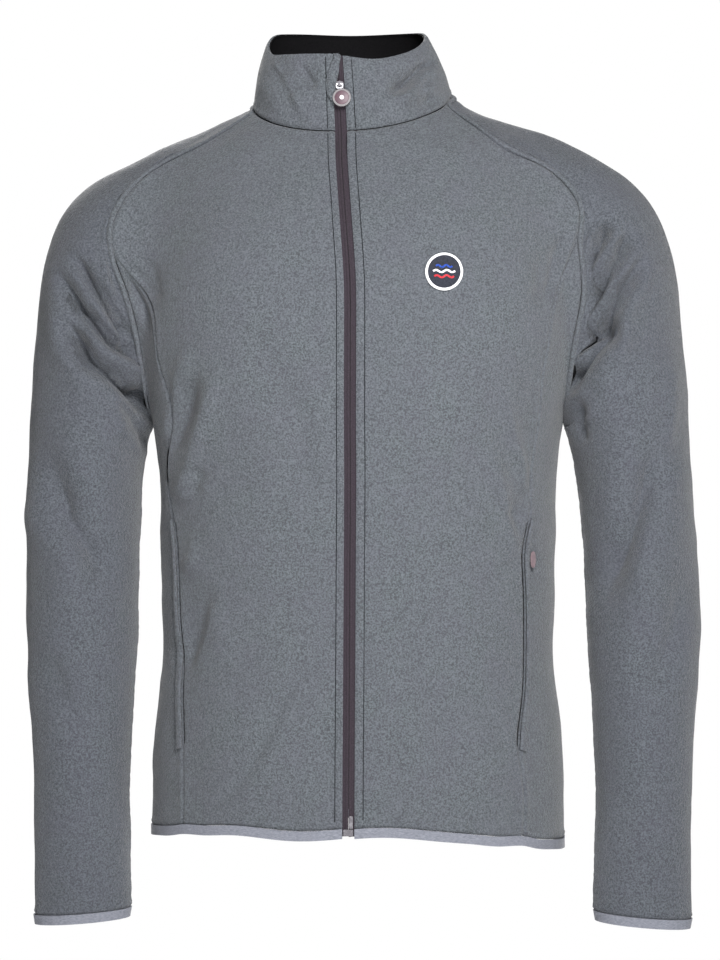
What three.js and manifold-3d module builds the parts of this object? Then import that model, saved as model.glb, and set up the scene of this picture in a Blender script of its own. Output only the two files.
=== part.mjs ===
// Fleece zip jacket with raglan sleeves, filled out on a general figure, in millimetres.
// +Z is up, -Y is the front and +X is the wearer's left.
// The origin is the middle of the neck's base, where the shoulders hold the jacket.
// The cloth is a family of walls laid on one smooth form: a torso and two sleeves, blended above
// the underarms. Every seam line lies on that form, and the pieces on its two sides share its points.
import * as THREE from "three";
import Module from "manifold-3d";
import { mergeVertices } from "three/addons/utils/BufferGeometryUtils.js";

const wasm = await Module();
wasm.setup();

// Driving sizes
const CLOTH = 2;               // fleece
const FACING = 1;              // inner collar layer
const TAPE = 1;                // zip tape
const BINDING = 3;             // elastic binding, with the cloth folded in it
const BINDING_TALL = 9;
const SEAM_GAP = 0.3;
const FIRST_ROW = 11;          // width of a sleeve's first row, beside the raglan seam
const SLEEVE_COLUMNS = 27;     // round a sleeve
const SLEEVE_ROWS = 26;        // from the raglan seam to the cuff
const HEM_SEAM = -649;         // height of the hem binding's seam at the middle front
const RELAX_PASSES = { sleeve: 3, side: 8 };
const CUFF_SEAM = { inner: -731, outer: -738 };
const ZIP_GAP = 10.5;          // between the two fronts' edges, where the zip shows
const ZIP_TAPE_WIDE = 15;
const TAPE_BEHIND = 0.6;       // from the cloth's inside to the zip tape
const ZIP_FOOT = 7;            // how far the tape runs below the hem's seam
const BADGE = { x: 82.5, z: -158.5, radius: 18, face: 14.2, thick: 1.2, above: 0.5, sides: 28 };
const WELT = { wide: 8, above: 0.4, thick: 1.4 };
const GUARD = { firstRow: 3, over: 4.4, clear: 0.8, back: 10, above: 0.5, thick: 1.5 };
const SLIDER = { z: 10, aside: 0.6, wide: 7.4, tall: 12, thick: 2.2, clear: 0.6 };
const BRIDGE = { wide: 2.2, reach: 4, rise: 4.6, strap: 1, above: 3.2 };
const LINK = { wide: 6.4, tall: 5, bar: 1.2 };
const TAB = { radius: 8.2, thick: 2.4, hang: 12.9, aside: 2.2 };   // hung from the slider's bridge
const POCKET_PULL = { wide: 6, tall: 14.6, thick: 1.6, row: 9, up: 0.9, aside: 11.8, out: 3.2 };
const PULL_TILT = 0.17;        // the pull rests on the collar, which leans back
const BOX = { wide: 8.6, tall: 6, thick: 2.2, below: 3.6, back: 1 };
const PIN = { wide: 3.2, tall: 11, thick: 1.8, aside: 2.4, above: 5.6 };
const VIEW = { distance: 3000, turn: (3 * Math.PI) / 180, height: -342, middle: 1.8 };

const clamp = (value, low, high) => Math.min(high, Math.max(low, value));
const mix = (a, b, share) => a + (b - a) * share;
const ease = (value) => {
  const t = clamp(value, 0, 1);
  return t * t * (3 - 2 * t);
};
const at = (x, y, z) => new THREE.Vector3(x, y, z);

// A table's rows with named columns
const table = (names, rows) => rows.map((row) => Object.fromEntries(names.map((name, i) => [name, row[i]])));

// Smooth curve through one column of a table, against its first column
function curve(rows, key, name) {
  const points = rows.map((row) => [row[key], row[name]]).sort((a, b) => a[0] - b[0]);
  const slope = points.map((point, i) => {
    const before = points[Math.max(0, i - 1)];
    const after = points[Math.min(points.length - 1, i + 1)];
    return (after[1] - before[1]) / (after[0] - before[0]);
  });
  return (value) => {
    if (value <= points[0][0]) return points[0][1];
    if (value >= points.at(-1)[0]) return points.at(-1)[1];
    let i = 0;
    while (points[i + 1][0] < value) i += 1;
    const span = points[i + 1][0] - points[i][0];
    const t = (value - points[i][0]) / span;
    const near = (1 + 2 * t) * (1 - t) ** 2 * points[i][1] + t * (1 - t) ** 2 * span * slope[i];
    return near + t * t * (3 - 2 * t) * points[i + 1][1] - t * t * (1 - t) * span * slope[i + 1];
  };
}

// Every column of a table as a curve
const curves = (rows, key) =>
  Object.fromEntries(Object.keys(rows[0]).filter((n) => n !== key).map((n) => [n, curve(rows, key, n)]));

// The torso's level sections: half width, depth in front of and behind the side line, the side
// line's own place, and how square the section is.
const TORSO = table(["z", "half", "front", "back", "side", "square"], [
  [22, 74, 48, 42, 8, 2],
  [10, 88, 56, 48, 9, 2],
  [4, 95, 61, 51, 10, 2],
  [-2, 104, 65, 54, 11, 2],
  [-9, 118, 70, 58, 11, 2],
  [-20, 141, 78, 66, 11, 2.05],
  [-31, 162, 86, 72, 10, 2.1],
  [-43, 176, 92, 80, 8, 2.15],
  [-66, 187, 102, 96, 5, 2.2],
  [-96, 193, 115, 108, 2, 2.3],
  [-130, 198, 126, 118, 0, 2.4],
  [-170, 200, 133, 125, 0, 2.5],
  [-220, 197, 138, 129, 0, 2.5],
  [-250, 193, 138, 129, 0, 2.45],
  [-285, 188, 137, 126, 0, 2.4],
  [-340, 182, 132, 118, 0, 2.35],
  [-411, 181, 126, 109, 0, 2.3],
  [-457, 180, 124, 104, 0, 2.3],
  [-503, 179, 125, 103, 0, 2.3],
  [-549, 184, 127, 107, 0, 2.3],
  [-595, 188, 130, 112, 0, 2.3],
  [-641, 189, 131, 115, 0, 2.3],
  [-680, 189, 130, 115, 0, 2.3],
]);

// A sleeve's level sections: middle, half width, half depth and the middle's place front to back
const SLEEVE = table(["z", "middle", "half", "depth", "fore"], [
  [-38, 166, 16, 12, 8],
  [-43, 168, 28, 22, 7],
  [-55, 180, 44, 36, 5],
  [-66, 194, 50, 46, 4],
  [-89, 213, 55, 57, 2],
  [-112, 223, 56.5, 63, 0],
  [-150, 234.5, 56, 68, 0],
  [-200, 240, 56, 72, 0],
  [-250, 242, 58, 74, 0],
  [-285, 245.3, 57.3, 74, 0],
  [-296, 247, 55.5, 74, -1],
  [-319, 250, 53.5, 72, -3],
  [-342, 252, 52, 70, -5],
  [-388, 254.5, 51.5, 65, -9],
  [-434, 256.5, 51.5, 60, -13],
  [-480, 257, 51, 56, -17],
  [-526, 257, 48, 52, -21],
  [-572, 256.5, 45.5, 48, -25],
  [-618, 256.5, 43.5, 44, -29],
  [-664, 255.5, 43.5, 39, -32],
  [-710, 255, 44, 34, -34],
  [-760, 254.5, 44, 31, -35],
]);

// How widely torso and sleeve run into each other, by height
const BLEND = table(["z", "wide"], [
  [0, 30], [-40, 34], [-90, 40], [-130, 34], [-170, 24], [-220, 13], [-285, 5], [-760, 4],
]);

// The figure stands a little turned: both sleeves lean to the wearer's left lower down,
// and the zip's top sits to the right.
const SWAY = table(["z", "sleeves", "zip"], [
  [45, 0, -15], [-18, 0, -12], [-54, 0, -10], [-96, 0, -6], [-140, 0, -2], [-176, 0, 0],
  [-300, 0, 0], [-342, 1, 0], [-450, 4, -1], [-760, 5, -2],
]);

// The wearer's left shoulder is higher
const SHOULDER_LIFT = { high: 5, x: 205, wide: 62, fade: -150 };

const torso = curves(TORSO, "z");
const sleeve = curves(SLEEVE, "z");
const blend = curve(BLEND, "z", "wide");
const sway = curves(SWAY, "z");

function ring(x, y, half, depth, square) {
  return (Math.abs(x) / half) ** square + (Math.abs(y) / depth) ** square;
}

function torsoField(x, y, z) {
  const off = y - torso.side(z);
  const half = torso.half(z);
  const square = torso.square(z);
  return (ring(x, off, half, off < 0 ? torso.front(z) : torso.back(z), square) ** (1 / square) - 1) * half;
}

function sleeveField(x, y, z) {
  const half = sleeve.half(z);
  const middle = sleeve.middle(z) + Math.sign(x) * sway.sleeves(z);
  const round = Math.sqrt(ring(Math.abs(x) - middle, y - sleeve.fore(z), half, sleeve.depth(z), 2)) - 1;
  return round * half + Math.max(0, z - SLEEVE[0].z);
}

// A field divided by its own slope reads nearly as a distance
function evened(field, x, y, z) {
  const step = 0.5;
  const dx = field(x + step, y, z) - field(x - step, y, z);
  const dy = field(x, y + step, z) - field(x, y - step, z);
  const dz = field(x, y, z + step) - field(x, y, z - step);
  return field(x, y, z) / Math.max(0.3, Math.hypot(dx, dy, dz) / (2 * step));
}

// The jacket's form: below 0 inside, 0 on the outer face of the cloth
function form(x, y, high) {
  const lifted = SHOULDER_LIFT.high * Math.exp(-(((Math.abs(x) - SHOULDER_LIFT.x) / SHOULDER_LIFT.wide) ** 2));
  const z = high - Math.sign(x) * lifted * ease(1 - high / SHOULDER_LIFT.fade);
  const a = evened(torsoField, x, y, z);
  const b = evened(sleeveField, x, y, z);
  const wide = blend(z);
  const near = Math.max(wide - Math.abs(a - b), 0) / wide;
  return Math.min(a, b) - (near * near * wide) / 4;
}

const inForm = (p) => form(p.x, p.y, p.z);

function slopeAt(p) {
  const step = 0.6;
  return at(
    form(p.x + step, p.y, p.z) - form(p.x - step, p.y, p.z),
    form(p.x, p.y + step, p.z) - form(p.x, p.y - step, p.z),
    form(p.x, p.y, p.z + step) - form(p.x, p.y, p.z - step),
  ).divideScalar(2 * step);
}

// Moves a nearby point onto the form along the form's own slope
function settle(guess, steps = 14) {
  const p = guess.clone();
  for (let i = 0; i < steps; i += 1) {
    const slope = slopeAt(p);
    const steep = Math.max(0.2, slope.lengthSq());
    p.addScaledVector(slope, clamp(-inForm(p) / steep, -12, 12));
  }
  return p;
}

// First crossing of the form from a start along a direction, going in or out
function cast(start, direction, outward) {
  const way = direction.clone().normalize();
  const sign = outward ? 1 : -1;
  const value = (far) => sign * inForm(start.clone().addScaledVector(way, far));
  const step = 5;
  let far = step;
  while (value(far) < 0 && far < 900) far += step;
  let low = far - step;
  let high = far;
  for (let i = 0; i < 16; i += 1) {
    const middle = (low + high) / 2;
    if (value(middle) < 0) low = middle;
    else high = middle;
  }
  return start.clone().addScaledVector(way, high);
}

// The view from the front: across and up on the plane through the origin
const ACROSS = at(Math.cos(VIEW.turn), Math.sin(VIEW.turn), 0);
const AHEAD = at(-Math.sin(VIEW.turn), Math.cos(VIEW.turn), 0);
const EYE = at(0, 0, VIEW.height).addScaledVector(ACROSS, VIEW.middle).addScaledVector(AHEAD, -VIEW.distance);

function seen(p) {
  const from = p.clone().sub(EYE);
  const scale = VIEW.distance / from.dot(AHEAD);
  return { u: VIEW.middle + from.dot(ACROSS) * scale, v: VIEW.height + from.z * scale };
}

// The point of the form's front that is seen at (u, v)
function sightedAt(u, v) {
  const way = at(0, 0, v).addScaledVector(ACROSS, u).sub(EYE).normalize();
  return cast(EYE.clone().addScaledVector(way, VIEW.distance - 260), way, false);
}

// Front seam lines as they are seen from the front, one table for each side of the wearer
const PRINCESS = {
  right: table(["v", "u"], [
    [-136, -224], [-154, -210], [-177, -190], [-198, -187], [-241, -183], [-264, -174], [-305, -173],
    [-329, -177], [-356, -173], [-403, -167], [-465, -165], [-545, -162], [-625, -161], [-668, -161],
  ]),
  left: table(["v", "u"], [
    [-119, 201], [-136, 196], [-157, 187], [-180, 180], [-214, 175], [-256, 168], [-290, 166],
    [-329, 159], [-377, 158], [-403, 153], [-465, 154], [-535, 153], [-587, 148], [-628, 153], [-674, 152],
  ]),
};
const RAGLAN = {
  right: table(["u", "v"], [[-224, -136], [-226, -119], [-224, -100], [-216, -85], [-197, -63],
    [-167, -45], [-135, -29], [-94, -5]]),
  left: table(["u", "v"], [[201, -119], [206, -110], [204, -95], [197, -77], [182, -63], [168, -52],
    [133, -36], [78, -3]]),
};
const ARMHOLE = table(["x", "y", "z"], [[207, -53, -178], [200, -44, -214], [194, -30, -250]]);
const UNDERARM = at(188, 4, -286);

// Back seam lines, mirrored: the seam between side panel and back, and the raglan above it
const SIDE_BACK = table(["z", "x"], [
  [-150, 200], [-176, 180], [-212, 166], [-290, 155], [-360, 148], [-450, 144], [-550, 147], [-670, 151],
]);
const RAGLAN_BACK = table(["x", "z"], [[200, -150], [206, -120], [198, -92], [178, -66], [138, -38], [78, 2]]);

// The neck seam: height by the turn from the middle front
const NECK = { half: 90, front: 66, back: 62, middleY: -8, middleX: -5 };
const NECK_LINE = table(["turn", "z"], [[0, -28], [20, -27], [40, -22], [60, -13], [74, -5], [90, 3],
  [110, 8], [140, 10], [180, 10]]);
const NECK_TURNS = { cut: 3.4, raglanFront: 74, raglanBack: 124 };
const neckHeight = curve(NECK_LINE, "turn", "z");

// The collar's top edge: its outline from above, and its height on each side by the turn
const COLLAR = { half: 73.5, front: 60, back: 62, middleX: -8.5, middleY: -5, bulge: 2.5 };
const COLLAR_TOP = table(["turn", "right", "left"], [[0, 42, 41], [25, 43, 38], [45, 44, 43], [62, 46, 50],
  [76, 52, 57], [90, 60, 64], [110, 70, 71], [140, 74, 74], [180, 74, 74]]);
const COLLAR_ROWS = 6;
const collarTop = curves(COLLAR_TOP, "turn");

const SIDES = { right: -1, left: 1 };
const POCKET = { top: -377, bottom: -582 };
const FRONT_COLUMNS = 7;
const BACK_COLUMNS = 12;
const SIDE_COLUMNS = { front: 5, back: 5 };
const NECK_SLEEVE_COLUMNS = 3;
const RAGLAN_ROWS = 7;
const LOW_ROWS = 3;
const POCKET_ROWS = 8;
const CHEST_ROWS = 8;

const spaced = (from, to, count) => Array.from({ length: count + 1 }, (_, i) => mix(from, to, i / count));

// Evenly spaced points along a smooth line through key points
function along(keys, count) {
  const line = new THREE.CatmullRomCurve3(keys, false, "centripetal");
  return line.getSpacedPoints(count);
}

// Point of the neck seam at a turn in degrees, from 0 at the middle front to 180 at the back
function neckPoint(side, turn) {
  const angle = (turn * Math.PI) / 180;
  const front = ((1 + Math.cos(angle)) / 2) ** 2;
  const x = NECK.middleX + SIDES[side] * NECK.half * Math.sin(angle) + (sway.zip(-29) - NECK.middleX) * front;
  const deep = turn < 90 ? NECK.front : NECK.back;
  const guess = at(x, NECK.middleY - deep * Math.cos(angle), neckHeight(turn));
  return cast(at(x * 0.3, 0, -100), guess.sub(at(x * 0.3, 0, -100)), true);
}

// A seam line that is seen from the front, at a real height
function sightedAtHeight(across, z) {
  let v = z;
  let p = sightedAt(across(v), v);
  for (let i = 0; i < 5; i += 1) {
    v += z - p.z;
    p = sightedAt(across(v), v);
  }
  return p;
}

// The hem dips at the sides. Turns are in degrees from the middle front to the wearer's left.
const HEM_DIP = table(["turn", "dip"], [[-180, 7], [-130, 7], [-90, 9], [-65, 2.5], [-49, -1], [-26, 2.5], [0, 0],
  [21, -1], [50, 6], [63, 11], [87, 19], [130, 12], [180, 7]]);
const hemDip = curve(HEM_DIP, "turn", "dip");

function hemHeight(p) {
  return HEM_SEAM - hemDip((Math.atan2(p.x, -p.y) * 180) / Math.PI);
}

const rowHeights = (top, bottom) => [
  ...spaced(bottom, POCKET.bottom, LOW_ROWS).slice(0, -1),
  ...spaced(POCKET.bottom, POCKET.top, POCKET_ROWS).slice(0, -1),
  ...spaced(POCKET.top, top, CHEST_ROWS),
];

// Princess seam from the hem up to the raglan seam
function princessSeam(side) {
  const across = curve(PRINCESS[side], "v", "u");
  const topView = PRINCESS[side][0];
  const top = sightedAt(topView.u, topView.v);
  const low = sightedAtHeight(across, HEM_SEAM);
  const heights = rowHeights(top.z, hemHeight(low));
  return heights.map((z, i) => (i === heights.length - 1 ? top : sightedAtHeight(across, z)));
}

// Seam between side panel and back, from the hem up
function sideBackSeam(side) {
  const across = curve(SIDE_BACK, "z", "x");
  const point = (z) => cast(at(SIDES[side] * across(z), 0, z), at(0, 1, 0), true);
  const low = point(HEM_SEAM);
  return rowHeights(SIDE_BACK[0].z, hemHeight(low)).map(point);
}

function raglanFront(side, start) {
  const keys = RAGLAN[side].slice(1, -1).map((row) => sightedAt(row.u, row.v));
  const end = neckPoint(side, NECK_TURNS.raglanFront);
  return along([start, ...keys, end], RAGLAN_ROWS).map((p, i) => (i % RAGLAN_ROWS ? settle(p) : p));
}

function raglanBack(side, start) {
  const keys = RAGLAN_BACK.slice(1, -1).map((row) => {
    const inside = at(SIDES[side] * row.x * 0.8, 0, row.z - 50);
    return cast(inside, at(SIDES[side] * row.x, 75, row.z).sub(inside), true);
  });
  const end = neckPoint(side, NECK_TURNS.raglanBack);
  return along([start, ...keys, end], RAGLAN_ROWS).map((p, i) => (i % RAGLAN_ROWS ? settle(p) : p));
}

// Lower armhole from the top of a side seam down to the underarm
function lowerArmhole(side, start, face, count) {
  const place = (row) => settle(at(SIDES[side] * row.x, face * Math.abs(row.y), row.z));
  const end = settle(at(SIDES[side] * UNDERARM.x, UNDERARM.y, UNDERARM.z));
  const points = along([start, ...ARMHOLE.map(place), end], count);
  return points.map((p, i) => (i === 0 ? start : i === count ? end : settle(p)));
}

// A patch between four seam lines, each an array of points. The inner points go by turn and height
// about the torso's middle line, and then onto the form.
function patch(bottom, top, left, right, facing) {
  const polar = (p) => {
    let turn = Math.atan2(p.x, -p.y) - facing;
    turn -= 2 * Math.PI * Math.round(turn / (2 * Math.PI));
    const half = torso.half(p.z);
    const back = Math.cos(turn + facing) < 0;
    const deep = back ? torso.back(p.z) + torso.side(p.z) : torso.front(p.z) - torso.side(p.z);
    const plain = 1 / Math.hypot(Math.sin(turn + facing) / half, Math.cos(turn + facing) / deep);
    return [turn, p.z, Math.hypot(p.x, p.y) - plain, plain];
  };
  const columns = bottom.length - 1;
  const rows = left.length - 1;
  const corner = [bottom[0], bottom[columns], top[0], top[columns]].map(polar);
  const edges = [bottom, top, left, right].map((edge) => edge.map(polar));
  return left.map((_, i) => bottom.map((__, j) => {
    if (i === 0) return bottom[j];
    if (i === rows) return top[j];
    if (j === 0) return left[i];
    if (j === columns) return right[i];
    const s = j / columns;
    const t = i / rows;
    const place = [0, 1, 2].map((k) => {
      const between = mix(edges[0][j][k], edges[1][j][k], t) + mix(edges[2][i][k], edges[3][i][k], s);
      const corners = mix(mix(corner[0][k], corner[1][k], s), mix(corner[2][k], corner[3][k], s), t);
      return between - corners;
    });
    const turn = place[0] + facing;
    const rough = at(Math.sin(turn) * 100, -Math.cos(turn) * 100, place[1]);
    const far = polar(rough)[3] + place[2];
    return settle(at(Math.sin(turn) * far, -Math.cos(turn) * far, place[1]));
  }));
}

// A closed line of points moved across its own direction, on the form
function beside(line, distance) {
  const last = line.length - 1;
  const moved = line.slice(0, last).map((p, j) => {
    const way = line[j + 1].clone().sub(line[(j + last - 1) % last]).normalize();
    return settle(p.clone().addScaledVector(slopeAt(p).cross(way).normalize(), distance));
  });
  return [...moved, moved[0]];
}

// Evens out a grid's inner points on the form. Its border stays, with as many first rows as are kept.
function relaxed(grid, passes, kept, closed) {
  const cells = grid.map((row) => row.map((p) => p.clone()));
  const last = cells[0].length - 1;
  for (let pass = 0; pass < passes; pass += 1) {
    for (let i = kept; i < cells.length - 1; i += 1) {
      for (let j = closed ? 0 : 1; j < last; j += 1) {
        const before = cells[i][j === 0 ? last - 1 : j - 1];
        const sum = before.clone().add(cells[i][j + 1]).add(cells[i - 1][j]).add(cells[i + 1][j]);
        cells[i][j] = settle(sum.multiplyScalar(0.25), pass === passes - 1 ? 8 : 2);
        if (j === 0) cells[i][last] = cells[i][0];
      }
    }
  }
  return cells;
}

// Hem seam points from one place to another round the torso
function hemLine(start, end, count, facing) {
  const angle = (p) => {
    const turn = Math.atan2(p.x, -p.y) - facing;
    return turn - 2 * Math.PI * Math.round(turn / (2 * Math.PI)) + facing;
  };
  return spaced(angle(start), angle(end), count).map((turn, i) => {
    if (i === 0) return start;
    if (i === count) return end;
    const rough = at(Math.sin(turn) * 150, -Math.cos(turn) * 120, 0);
    const z = hemHeight(rough);
    return cast(at(0, 0, z), at(Math.sin(turn), -Math.cos(turn), 0), true);
  });
}

// The zip's edge of a front, from the hem up to the neck seam
function zipEdge(side, heights) {
  return heights.map((z) => {
    const x = sway.zip(z) + (SIDES[side] * ZIP_GAP) / 2;
    return cast(at(x, 0, z), at(0, -1, 0), true);
  });
}

function seamsOf(side) {
  const princess = princessSeam(side);
  const sideBack = sideBackSeam(side);
  const raglanF = raglanFront(side, princess.at(-1));
  const raglanB = raglanBack(side, sideBack.at(-1));
  return {
    princess,
    sideBack,
    raglanF,
    raglanB,
    holeF: lowerArmhole(side, princess.at(-1), -1, SIDE_COLUMNS.front),
    holeB: lowerArmhole(side, sideBack.at(-1), 1, SIDE_COLUMNS.back),
    neckFront: spaced(NECK_TURNS.cut, NECK_TURNS.raglanFront, FRONT_COLUMNS).map((turn) => neckPoint(side, turn)),
    neckSleeve: spaced(NECK_TURNS.raglanFront, NECK_TURNS.raglanBack, NECK_SLEEVE_COLUMNS)
      .map((turn) => neckPoint(side, turn)),
  };
}

const seams = { right: seamsOf("right"), left: seamsOf("left") };
const neckBack = spaced(0, 1, BACK_COLUMNS).map((share) => {
  const turn = mix(NECK_TURNS.raglanBack, 360 - NECK_TURNS.raglanBack, share);
  return turn <= 180 ? neckPoint("left", turn) : neckPoint("right", 360 - turn);
});

// Large folds, as seen from the front, or from behind by x and z. A row has a start, a middle and
// an end, how wide and how deep it is, and the height of the ridge on its lower side.
const FOLD_COLUMNS = ["u0", "v0", "u1", "v1", "u2", "v2", "wide", "deep", "ridge"];
const SLEEVE_FOLDS_FRONT = table(FOLD_COLUMNS, [
  [-263, -136, -241, -166, -204, -209, 8, 7, 5],
  [-280, -148, -250, -190, -205, -224, 9, 10, 7],
  [-279, -190, -250, -230, -197, -268, 10, 12, 7],
  [-286, -302, -278, -352, -226, -440, 17, 7, 5],
  [235, -103, 222, -124, 198, -171, 8, 7, 5],
  [255, -110, 235, -140, 198, -190, 8, 8, 6],
  [267, -127, 240, -172, 196, -221, 9, 11, 8],
  [247, -192, 222, -218, 200, -250, 10, 10, 6],
  [275, -306, 258, -372, 220, -464, 17, 7, 5],
]);
const TORSO_FOLDS_FRONT = table(FOLD_COLUMNS, [
  [-148, -230, -163, -290, -172, -321, 10, 5, 4],
  [-143, -330, -152, -358, -160, -385, 10, 3, 2],
  [-134, -433, -152, -494, -160, -522, 11, 4, 3],
  [130, -230, 136, -290, 146, -330, 10, 4, 3],
  [120, -300, 132, -350, 146, -380, 11, 4, 3],
]);
const SLEEVE_FOLDS_BACK = table(FOLD_COLUMNS, [
  [-262, -140, -242, -180, -212, -215, 9, 7, 5],
  [-280, -180, -250, -225, -208, -262, 10, 10, 6],
  [-284, -330, -270, -372, -228, -400, 14, 8, 5],
  [262, -135, 240, -170, 212, -205, 9, 7, 5],
  [278, -170, 252, -220, 208, -258, 10, 10, 6],
  [286, -320, 268, -366, 230, -396, 14, 8, 5],
]);
const TORSO_FOLDS_BACK = table(FOLD_COLUMNS, [
  [-150, -220, -120, -290, -96, -340, 12, 5, 4],
  [146, -215, 122, -280, 92, -345, 12, 5, 4],
  [-90, -400, 0, -424, 90, -396, 16, 5, 4],
  [-110, -452, -10, -474, 96, -458, 16, 4, 4],
]);

const COLLAR_FOLDS = table(FOLD_COLUMNS, [
  [70, 34, 47, 26, 25, 15, 7, 7, 5],
  [-54, 44, -46, 28, -36, 8, 7, 3, 2],
  [-76, 44, -66, 18, -58, -2, 7, 3, 3],
]);

// Signed distance from a fold's bent line, and how far along it, from 0 to 1
function foldPlace(fold, u, v) {
  const legs = [[fold.u0, fold.v0, fold.u1, fold.v1], [fold.u1, fold.v1, fold.u2, fold.v2]];
  let best = { far: Infinity };
  legs.forEach(([x0, z0, x1, z1], leg) => {
    const long = Math.hypot(x1 - x0, z1 - z0);
    const share = clamp(((u - x0) * (x1 - x0) + (v - z0) * (z1 - z0)) / (long * long), 0, 1);
    const offU = u - mix(x0, x1, share);
    const offV = v - mix(z0, z1, share);
    const far = Math.hypot(offU, offV);
    const lower = Math.sign(offU * (z1 - z0) - offV * (x1 - x0)) * Math.sign(x1 - x0 || 1);
    if (far < best.far) best = { far, side: lower, share: (leg + share) / 2 };
  });
  return best;
}

function foldDepth(folds, u, v) {
  let total = 0;
  folds.forEach((fold) => {
    const place = foldPlace(fold, u, v);
    if (place.far > 5 * fold.wide) return;
    const ends = ease(place.share / 0.3) * ease((1 - place.share) / 0.25);
    const off = place.far * place.side;
    const trough = Math.exp(-((off / fold.wide) ** 2)) * fold.deep;
    const ridge = Math.exp(-(((off - 1.7 * fold.wide) / fold.wide) ** 2)) * fold.ridge;
    total += (ridge - trough) * ends;
  });
  return total;
}

const raglanLines = ["right", "left"].flatMap((side) => {
  const s = seams[side];
  return [...s.raglanF, ...s.raglanB, ...s.holeF, ...s.holeB, ...s.neckFront, ...neckBack];
});

// Folds die away at the raglan and neck seams, where the pieces meet
function seamFade(p) {
  const near = Math.min(...raglanLines.map((q) => q.distanceToSquared(p)));
  return ease((Math.sqrt(near) - 6) / 26);
}

// The dressed place of a point of the form: moved by the folds, with the form's own normal
function dressed(p, front, back) {
  const normal = slopeAt(p).normalize();
  const facing = ease((-normal.dot(AHEAD) - 0.1) / 0.4);
  const behind = ease((normal.y - 0.1) / 0.4);
  const { u, v } = seen(p);
  const moved = foldDepth(front, u, v) * facing + foldDepth(back, p.x, p.z) * behind;
  return { p: p.clone().addScaledVector(normal, moved * seamFade(p)), normal };
}

const dressedTorso = (p) => dressed(p, TORSO_FOLDS_FRONT, TORSO_FOLDS_BACK);
const dressedSleeve = (p) => dressed(p, SLEEVE_FOLDS_FRONT, SLEEVE_FOLDS_BACK);

// Pulls a grid's border back from the seam line by half the seam gap
function trimmed(grid, closed) {
  const rows = grid.length - 1;
  const columns = grid[0].length - 1;
  const shift = grid.map((row) => row.map(() => at(0, 0, 0)));
  const pull = (i, j, along1, along2, inward) => {
    const here = grid[i][j];
    const line = along2.p.clone().sub(along1.p).normalize();
    const across = here.normal.clone().cross(line).normalize();
    if (across.dot(inward.p.clone().sub(here.p)) < 0) across.negate();
    shift[i][j].addScaledVector(across, SEAM_GAP / 2);
  };
  for (let j = 0; j <= columns; j += 1) {
    const before = closed ? (j + columns - 1) % columns : Math.max(0, j - 1);
    const after = closed ? (j + 1) % columns : Math.min(columns, j + 1);
    pull(0, j, grid[0][before], grid[0][after], grid[1][j]);
    pull(rows, j, grid[rows][before], grid[rows][after], grid[rows - 1][j]);
  }
  for (let i = 0; i <= rows && !closed; i += 1) {
    const before = Math.max(0, i - 1);
    const after = Math.min(rows, i + 1);
    pull(i, 0, grid[before][0], grid[after][0], grid[i][1]);
    pull(i, columns, grid[before][columns], grid[after][columns], grid[i][columns - 1]);
  }
  return grid.map((row, i) => row.map((cell, j) => ({ p: cell.p.clone().add(shift[i][j]), normal: cell.normal })));
}

// A closed wall from a grid of points with normals. Rows run up or along, columns across.
// A closed grid repeats its first column as its last.
function wall(grid, outer, inner, closed = false) {
  const rows = grid.length;
  const columns = closed ? grid[0].length - 1 : grid[0].length;
  const positions = [];
  const put = (p) => positions.push(p.x, p.y, p.z);
  [outer, inner].forEach((off) => grid.forEach((row) => row.slice(0, columns).forEach((cell) => {
    put(cell.p.clone().addScaledVector(cell.normal, off));
  })));
  const index = [];
  const quad = (a, b, c, d) => index.push(a, b, c, a, c, d);
  const out = (i, j) => i * columns + (j % columns);
  const inn = (i, j) => rows * columns + out(i, j);
  // A rim face is split from its upper outer corner, so that both sides of a seam split alike
  const rank = (k) => positions[3 * k] * 0.37 + positions[3 * k + 1] * 0.21 + positions[3 * k + 2];
  const rim = (a, b, insideB, insideA) => {
    if (rank(a) > rank(b)) quad(a, b, insideB, insideA);
    else quad(b, insideB, insideA, a);
  };
  const across = closed ? columns : columns - 1;
  for (let i = 0; i < rows - 1; i += 1) {
    for (let j = 0; j < across; j += 1) {
      quad(out(i, j), out(i, j + 1), out(i + 1, j + 1), out(i + 1, j));
      quad(inn(i, j), inn(i + 1, j), inn(i + 1, j + 1), inn(i, j + 1));
    }
  }
  for (let j = 0; j < across; j += 1) {
    rim(out(0, j + 1), out(0, j), inn(0, j), inn(0, j + 1));
    rim(out(rows - 1, j), out(rows - 1, j + 1), inn(rows - 1, j + 1), inn(rows - 1, j));
  }
  for (let i = 0; i < rows - 1 && !closed; i += 1) {
    rim(out(i, 0), out(i + 1, 0), inn(i + 1, 0), inn(i, 0));
    rim(out(i + 1, across), out(i, across), inn(i, across), inn(i + 1, across));
  }
  return solid(positions, index);
}

// Geometry from points and faces, turned to face outward
function solid(positions, index) {
  let volume = 0;
  const corner = (k) => at(positions[3 * k], positions[3 * k + 1], positions[3 * k + 2]);
  for (let k = 0; k < index.length; k += 3) {
    volume += corner(index[k]).dot(corner(index[k + 1]).cross(corner(index[k + 2])));
  }
  const faces = volume < 0 ? index.map((_, k) => index[k - (k % 3) + 2 - (k % 3)]) : index;
  const geometry = new THREE.BufferGeometry();
  geometry.setAttribute("position", new THREE.Float32BufferAttribute(positions, 3));
  geometry.setIndex(faces);
  geometry.computeVertexNormals();
  return geometry;
}

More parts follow.
